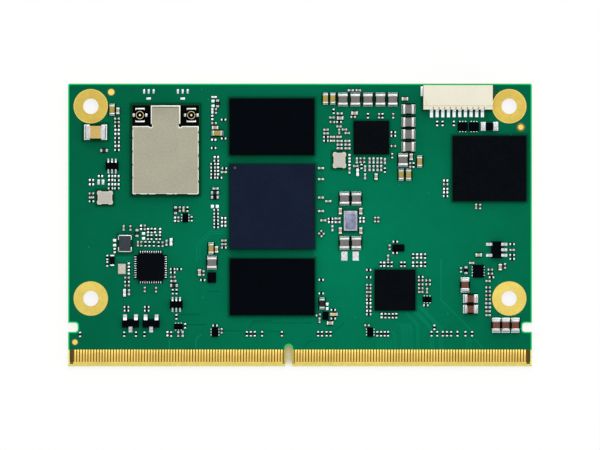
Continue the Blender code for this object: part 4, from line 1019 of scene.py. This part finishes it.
def packages():
    """The ball packages, the flat ones with their leads, and the codec with its cut corners."""
    for name, material, pitch in (
        ("processor", "navy", 0.65), ("memory_upper", "package", 0.8),
        ("memory_lower", "package", 0.8), ("storage_chip", "package_soft", 0.5),
    ):
        ball_package(name, material, pitch)
    for name in FLAT_PACKAGES:
        flat_package(name)
    leads = Piece("flat_leads")
    for name, angle, count, reach in (
        ("logic_chip_a", 90, 3, 0.7), ("logic_chip_b", 0, 3, 0.68), ("logic_chip_c", 90, 3, 0.76),
        ("logic_chip_d", 90, 3, 0.74), ("logic_chip_e", 0, 3, 0.68), ("logic_chip_f", 0, 3, 0.97),
        ("logic_chip_g", 0, 3, 0.97), ("regulator_small", 90, 4, 1.12),
    ):
        x, y = PLACES[name][:2]
        shift = 0.08 if name == "regulator_small" else 0.0
        ticks(leads, x - shift, y, angle, count, 0.5, reach, 0.15, 0.22, 0.2, "lead_tin")
    leads.make("tin")
    x, y, side, _, height = PLACES["codec_chip"]
    half, corner = side / 2, 0.5
    outline = []
    for i in range(4):
        for along in (corner - half, half - corner):
            point = at(0, 0, 0, 90 * i) @ Vector((along, -half, 0.0))
            outline.append(tuple(point.xy))
    low = TOP + SEAT
    codec = Piece("codec_body").add(prism(outline, low, low + height, 0.06), "package_soft", at(x, y))
    codec.make("package", ["codec_chip"])
    ring_of_pads = Piece("codec_pads")
    # Painted contact shade: dark films under the codec's pads
    for i, (length, width) in enumerate(((4.3, 5.95), (5.95, 4.3))):
        ring_of_pads.add(film(length, width), "clearance_painted_shade", at(x, y, LAYER_STEP * i))
    for angle in (0, 90):
        ticks(ring_of_pads, x, y, angle, 10, 0.4, 2.86, 0.46, 0.13, 0.05, "solder")
    ring_of_pads.make("tin")


def gull_lead(width, side, reach, level):
    """A bent lead that leaves a body side at a level and stands on the board, drawn towards +Y."""
    thick = 0.13
    knee = reach - 0.55 * (reach - side)
    line = [
        (side - 0.3, level), (knee - thick, level), (knee, level - thick),
        (knee + 0.02, thick / 2), (knee + thick, 0.0), (reach, 0.0),
    ]
    upper = [(y, z + thick) for y, z in line]
    upper[2] = (knee + thick * 0.6, level)
    upper[3] = (knee + thick, thick * 1.6)
    outline = line + upper[::-1]
    points, faces = prism(outline, -width / 2, width / 2)
    return points[:, [2, 0, 1]], faces


def gull_packages():
    """Transistors, gate chips and the regulator, each with bent leads on two sides."""
    low = TOP + SEAT
    pair, trio = (-0.97, 0.97), (-0.66, 0.0, 0.66)
    for name, angle, width, reach, lead_width, upper, lower in (
        ("transistor_left", 0, 1.15, 1.58, 0.64, pair, (0.0,)),
        ("transistor_right", 0, 1.15, 1.58, 0.64, pair, (0.0,)),
        ("gate_chip_left", 0, 1.2, 1.3, 0.27, trio, trio),
        ("gate_chip_middle", 0, 1.2, 1.3, 0.27, trio, trio),
        ("regulator", 90, 1.6, 1.87, 0.5, pair, (-0.97, 0.0, 0.97)),
    ):
        x, y, across, along, height = PLACES[name]
        length = along if angle else across
        half = (height - 0.06) / 2
        body = at(x, y, 0.06, angle)
        piece = Piece(name + "_body")
        piece.add(block(length, width, half + 0.02, 0.05, 2, base=low + half), "package", body)
        piece.add(block(length, width, half, 0.05, 2, base=low), "package", body)
        # Painted contact shade round the package's foot
        piece.add(film(length + 0.1, width + 0.4, 0.008), "clearance_painted_shade", at(x, y, 0, angle))
        lead = gull_lead(lead_width, width / 2, reach, half)
        for turn, places in ((0, upper), (180, lower)):
            for place in places:
                offset = -place if turn else place
                piece.add(lead, "lead_grey", at(x, y, low, angle) @ at(0, 0, 0, turn) @ at(offset, 0))
        piece.make("package", [name])


# Wireless module and header


def can_shape(inset, low, high, soft):
    """The can's form, drawn in by an inset: its tongue lies between two cut-out corners."""
    x, y = (side / 2 - inset for side in PLACES["shield_can"][2:4])
    step_x, step_y = x - 3.25, y - 3.65
    corner_x, corner_y = step_x + inset, step_y + inset
    relief = 0.22 + inset
    lean = math.degrees(math.asin(inset / relief))
    outline = [
        *arc(-x + 0.25, -y + 0.25, 0.25, 180, 270, 5),
        *arc(x - 0.25, -y + 0.25, 0.25, 270, 360, 5),
        (x, step_y),
        *arc(corner_x, corner_y, relief, -lean, -270 + lean, 16),
        (step_x, y),
        (-step_x, y),
        *arc(-corner_x, corner_y, relief, 90 - lean, -180 + lean, 16),
        (-x, step_y),
    ]
    return prism(outline, low, high, soft)


def wireless_module():
    """The wireless unit: its board, the shield can and two antenna sockets."""
    sockets = ("antenna_socket_left", "antenna_socket_right")
    x, y, length, width, _ = PLACES["wireless_board"]
    low = TOP + SEAT
    base = Piece("wireless_laminate")
    base.add(block(length, width, 0.56, 0.02, 1, base=low), "wireless_edge", at(x, y))
    base.add(block(length - 0.2, width - 0.2, 0.1, 0.01, 1, base=low + 0.5), "wireless", at(x, y))
    for name in sockets:
        for end in (-1, 1):
            spot = at(PLACES[name][0] + end * 1.1, PLACES[name][1])
            base.add(block(0.38, 0.56, 0.04, 0.02, 2, base=low + 0.58), "lead_grey", spot)
    base.make("wireless_board", ["wireless_board"])
    low += 0.6 + SEAT
    can = Piece("shield_cover")
    # Painted highlight: the can's rim in a paler tin than its top
    can.add(can_shape(0.0, low, low + 1.47, 0.06), "can_rim_painted_highlight", at(x, y))
    can.add(can_shape(0.16, low + 1.4, low + 1.5, 0.02), "can", at(x, y))
    slit_low = low + 1.455
    for along, span in ((-4.85, 0.8), (-3.1, 0.3), (-0.83, 2.0), (1.4, 0.3), (2.95, 1.9)):
        can.add(block(span, 0.1, 0.02, 0.0, base=slit_low), "gap_dark", at(x + along, y - 7.8))
    for along in (-5.6, -3.3, -1.0, 1.4, 3.1):
        can.add(block(0.1, 0.45, 0.02, 0.0, base=slit_low), "gap_dark", at(x + 5.8, y + along))
        can.add(block(0.1, 0.3, 0.02, 0.0, base=slit_low), "gap_dark", at(x - 5.8, y + along + 0.7))
    # Painted shade: a dark line just inside the rim at the can's upper edge
    can.add(block(4.6, 0.14, 0.06, 0.0, base=low + 1.443), "dark_seam_and_painted_shade", at(x, y + 7.53))
    obj = can.make("shield_can", ["shield_can"])
    cut(obj, "cover_cavity", [translated(can_shape(0.15, low - 0.2, low + 1.3, 0.0), x, y)])
    relief = disc(0.3, low - 0.3, low + 1.7, 0.0, 20)
    cut(obj, "corner_reliefs", [translated(relief, x + along, y + 4.33) for along in (-2.66, 2.58)])
    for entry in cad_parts["radio_chip"].material_slots:
        entry.link = "OBJECT"
        entry.material = MATERIALS["package"]
    for name in sockets:
        x, y = PLACES[name][:2]
        piece = Piece(name + "_parts")
        piece.add(block(1.5, 1.9, 0.28, 0.04, 2, base=low), "package", at(x, y))
        bar = block(1.64, 0.25, 0.24, 0.05, 2, base=low)
        leg = block(0.18, 0.3, 0.22, 0.04, 2, base=low)
        for end in (-1, 1):
            piece.add(bar, "end_tin", at(x, y + end * 1.13))
            for edge in (-1, 1):
                piece.add(leg, "lead_grey", at(x + edge * 0.72, y + end * 0.99))
        piece.add(ring(0.61, 0.7, low + 0.1, low + 0.95, 0.02, 40), "collar", at(x, y))
        piece.add(disc(0.66, low + 0.2, low + 0.34, 0.0, 32), "package", at(x, y))
        piece.add(disc(0.24, low + 0.2, low + 0.75, 0.07, 20), "pin_gold", at(x, y))
        piece.make("gold", [name])


def header():
    """The cream side-entry header: its housing with the mouth, ten bent contacts and two tabs."""
    low = TOP + SEAT
    x, y, length, depth, _ = PLACES["header_housing"]
    back, front = y - depth / 2, y + depth / 2
    contacts = [f"header_contact_{i + 1}" for i in range(10)]
    columns = [PLACES[name][0] for name in contacts]
    housing = Piece("header_shell")
    shell = block(length, depth - 0.7, 2.94, 0.06, 2, base=low)
    housing.add(shell, "cream", at(x, front - (depth - 0.7) / 2))
    # Painted shade: the lower back ledge in a darker cream
    housing.add(block(length, 0.76, 2.78, 0.04, 2, base=low), "cream_painted_shade", at(x, back + 0.38))
    gate = disc(0.15, low + 2.9, low + 2.95, 0.0, 16)
    housing.add(gate, "cream_gate", at(x - length / 2 + 0.6, front - 3.35))
    obj = housing.make("header_housing", ["header_housing"])
    mouth = block(length - 1.1, 6.4, 1.85, 0.0, base=low + 0.55)
    slot = block(0.66, 4.3, 0.4, 0.0, base=low + 1.3)
    groove = block(0.16, 0.9, 1.2, 0.0, base=low + 2.0)
    cut(obj, "header_mouth", [translated(mouth, x, front)])
    cut(obj, "header_slots", [translated(slot, column, back) for column in columns])
    cut(obj, "header_grooves", [translated(groove, column + 0.3, back) for column in columns])
    thick = 0.25
    toe, riser, tip = back - 1.4, back - 0.06, back + 3.5
    inner = riser - thick
    line = [
        (toe, 0.0), (riser - 0.05, 0.0), (riser, 0.08), (riser, 1.3), (riser + 0.05, 1.35), (tip - 0.1, 1.35),
        (tip, 1.42), (tip, 1.53), (tip - 0.1, 1.6), (inner + 0.1, 1.6), (inner, 1.5), (inner, thick + 0.1),
        (inner - 0.1, thick), (toe + 0.08, thick), (toe, thick - 0.08),
    ]
    points, faces = prism(line, -0.275, 0.275)
    for i, (name, column) in enumerate(zip(contacts, columns)):
        piece = Piece(f"header_pin_{i + 1}")
        piece.add((points[:, [2, 0, 1]], faces), "lead_tin", at(column, 0, low))
        piece.make("tin", [name])
    # The right tab is drawn in painted shade, dark and dull
    for name, side, metal in (("header_tab_left", -1, "lead_tin"), ("header_tab_right", 1, "tab_painted_shade")):
        edge = x + side * (length / 2 + 0.06)
        piece = Piece(name + "_parts")
        piece.add(block(0.24, 1.7, 1.0, 0.04, 2, base=low), metal, at(edge + side * 0.12, front - 1.05))
        piece.add(block(0.4, 1.7, 0.25, 0.05, 2, base=low), metal, at(edge + side * 0.2, front - 1.05))
        piece.make("tin", [name])


# Crystals and coil


def crystals():
    """Two crystals with notched ceramic sides, the oscillator and the small crystal."""
    low = TOP + SEAT
    for name in ("crystal_left", "crystal_middle"):
        x, y, length, width, _ = PLACES[name]
        corner = 0.3
        outline = []
        for right, upper, start in ((1, -1, 270), (1, 1, 0), (-1, 1, 90), (-1, -1, 180)):
            corner_x, corner_y = right * (length / 2 - corner), upper * (width / 2 - corner)
            outline += arc(corner_x, corner_y, corner, start, start + 90, 5)
        piece = Piece(name + "_body")
        piece.add(prism(outline, low, low + 0.76, 0.06), "ceramic", at(x, y))
        obj = piece.make("crystal", [name])
        across = block(0.26, width * 0.46, 2.0, 0.1, 2, base=low - 0.5)
        along = block(length * 0.46, 0.26, 2.0, 0.1, 2, base=low - 0.5)
        notches = [translated(across, x + side * length / 2, y) for side in (-1, 1)]
        notches += [translated(along, x, y + side * width / 2) for side in (-1, 1)]
        cut(obj, name + "_notches", notches)
        lid = Piece(name + "_lid")
        lid.add(block(length - 0.62, width - 0.56, 0.08, 0.03, 2, base=low + 0.72), "lid", at(x, y))
        lid.make("crystal")
    x, y, length, width, _ = PLACES["oscillator"]
    piece = Piece("oscillator_body")
    piece.add(block(length, width, 0.88, 0.05, 3, base=low), "silver", at(x, y))
    piece.add(block(length - 0.21, width - 0.21, 0.1, 0.03, 2, base=low + 0.84), "silver_top", at(x, y))
    piece.add(block(1.66, 2.66, 0.14, 0.03, 2, base=low + 0.86), "lavender", at(x - 0.03, y - 0.09))
    piece.make("crystal", ["oscillator"])
    x, y, length, width, _ = PLACES["crystal_small"]
    piece = Piece("crystal_small_body")
    piece.add(block(length, width, 0.4, 0.05, 2, base=low), "ceramic", at(x, y))
    piece.add(block(length - 0.15, width - 0.15, 0.12, 0.05, 2, base=low + 0.38), "beige", at(x, y))
    piece.make("crystal", ["crystal_small"])


def coil():
    """A resin block between two wrapped tin ends."""
    x, y = PLACES["coil_inductor"][:2]
    low = TOP + SEAT
    piece = Piece("coil_parts")
    piece.add(block(2.1, 2.7, 1.1, 0.12, 3, base=low), "slate", at(x, y))
    bar = block(2.4, 0.24, 0.8, 0.05, 2, base=low + 0.06)
    hook = block(0.24, 0.86, 0.8, 0.05, 2, base=low + 0.06)
    for side in (-1, 1):
        piece.add(bar, "end_tin", at(x, y + side * 1.38))
        for end in (-1, 1):
            piece.add(hook, "end_tin", at(x + end * 1.08, y + side * 1.07))
    piece.make("package", ["coil_inductor"])


# Stage, light and camera


def seen_directly(nodes, links):
    """One for rays from the camera, and for those that metal or glass sends on."""
    path = made(nodes, "LightPath")
    total = path.outputs["Is Camera Ray"]
    for other in ("Is Glossy Ray", "Is Transmission Ray"):
        larger = made(nodes, "Math")
        larger.operation = "MAXIMUM"
        links.new(total, larger.inputs[0])
        links.new(path.outputs[other], larger.inputs[1])
        total = larger.outputs["Value"]
    return total


def paper():
    """White paper that keeps a soft shadow; in the narrow slot, painted shade and warm light off its walls
    are put into its colour.
    """
    material = bpy.data.materials.new("white_paper")
    material.use_nodes = True
    nodes = material.node_tree.nodes
    links = material.node_tree.links
    shader = nodes["Principled BSDF"]
    settle(shader, Roughness=0.9, Specular_IOR_Level=0.0)
    glow = made(nodes, "Emission")
    # Painted shade: ambient occlusion darkens and warms the paper's colour inside the key slot
    open_sky = made(nodes, "AmbientOcclusion", Distance=4.0 * MM)
    open_sky.samples = 12
    steps = ((0.18, (138, 136, 84)), (0.42, (206, 194, 152)), (0.72, (232, 230, 216)), (1.0, (250, 250, 248)))
    tone = ramp(nodes, *[(place, linear(*rgb)) for place, rgb in steps])
    join(open_sky, "AO", tone, "Fac")
    place = made(nodes, "NewGeometry")
    axes = made(nodes, "SeparateXYZ")
    join(place, "Position", axes, "Vector")
    fade = made(nodes, "MapRange", From_Min=-(HALF_WIDTH + 0.6) * MM, From_Max=-(HALF_WIDTH - 1.2) * MM)
    fade.interpolation_type = "SMOOTHSTEP"
    join(axes, "Y", fade, "Value")
    inside = fade.outputs["Result"]
    for axis, operation, limit in (
        ("X", "GREATER_THAN", KEY_X - 0.8),
        ("X", "LESS_THAN", KEY_X + 0.8),
        ("Y", "LESS_THAN", 5.0 - HALF_WIDTH),
    ):
        test = made(nodes, "Math")
        test.operation = operation
        test.inputs[1].default_value = limit * MM
        links.new(axes.outputs[axis], test.inputs[0])
        both = made(nodes, "Math")
        both.operation = "MULTIPLY"
        links.new(inside, both.inputs[0])
        join(test, "Value", both, 1)
        inside = both.outputs["Value"]
    tint = made(nodes, "Mix")
    tint.data_type = "RGBA"
    colours = [s for s in tint.inputs if s.type == "RGBA"]
    colours[0].default_value = (0.98, 0.98, 0.98, 1.0)
    links.new(inside, tint.inputs["Factor"])
    links.new(tone.outputs["Color"], colours[1])
    paper_with_painted_shade = [s for s in tint.outputs if s.type == "RGBA"][0]
    links.new(paper_with_painted_shade, shader.inputs["Base Color"])
    links.new(paper_with_painted_shade, glow.inputs["Color"])
    share = made(nodes, "Math")
    share.operation = "MULTIPLY"
    share.inputs[1].default_value = 0.8
    mix = made(nodes, "MixShader")
    links.new(seen_directly(nodes, links), share.inputs[0])
    join(share, "Value", mix, "Fac")
    join(shader, "BSDF", mix, 1)
    join(glow, "Emission", mix, 2)
    join(mix, "Shader", nodes["Material Output"], "Surface")
    return material


def stage():
    """A paper floor just below the object."""
    half, level = 3.0, -0.00005
    corners = [(x * half, y * half, level) for x, y in ((-1, -1), (1, -1), (1, 1), (-1, 1))]
    mesh = bpy.data.meshes.new("floor")
    mesh.from_pydata(corners, [], [(0, 1, 2, 3)])
    mesh.materials.append(paper())
    floor = bpy.data.objects.new("floor", mesh)
    bpy.context.scene.collection.objects.link(floor)


def light():
    """A white room and one soft panel above the board's rear edge."""
    world = bpy.data.worlds.new("white_room")
    bpy.context.scene.world = world
    world.use_nodes = True
    nodes = world.node_tree.nodes
    links = world.node_tree.links
    nodes.clear()
    out = made(nodes, "OutputWorld")
    mix = made(nodes, "MixShader")
    room = made(nodes, "Background", Color=(1.0, 1.0, 1.0, 1.0), Strength=0.85)
    seen = made(nodes, "Background", Color=(1.0, 1.0, 1.0, 1.0), Strength=1.0)
    links.new(seen_directly(nodes, links), mix.inputs["Fac"])
    join(room, "Background", mix, 1)
    join(seen, "Background", mix, 2)
    join(mix, "Shader", out, "Surface")
    lamp = bpy.data.lights.new("soft_panel", "AREA")
    lamp.shape = "RECTANGLE"
    lamp.size = 0.5
    lamp.size_y = 0.4
    lamp.energy = 1.6
    panel = bpy.data.objects.new("soft_panel", lamp)
    panel.location = (0.12, 0.32, 0.6)
    direction = -panel.location
    panel.rotation_euler = direction.to_track_quat("-Z", "Y").to_euler()
    bpy.context.scene.collection.objects.link(panel)


def camera():
    """Straight above, far away, framed at the photograph's scale."""
    data = bpy.data.cameras.new("camera")
    distance = 2.0
    data.sensor_width = 36.0
    data.lens = data.sensor_width * distance / (FRAME_WIDTH / PIXELS_PER_MM * MM)
    data.clip_start = 0.01
    data.clip_end = 10.0
    cam = bpy.data.objects.new("camera", data)
    cam.location = (0.0, 0.0, distance + TOP * MM)
    bpy.context.scene.collection.objects.link(cam)
    bpy.context.scene.camera = cam
    bpy.context.scene.view_settings.view_transform = "Standard"


board()
copper()
traces()
shadow_bands()
bare_pads()
soldered_parts()
large_parts()
packages()
gull_packages()
wireless_module()
header()
crystals()
coil()
stage()
light()
camera()
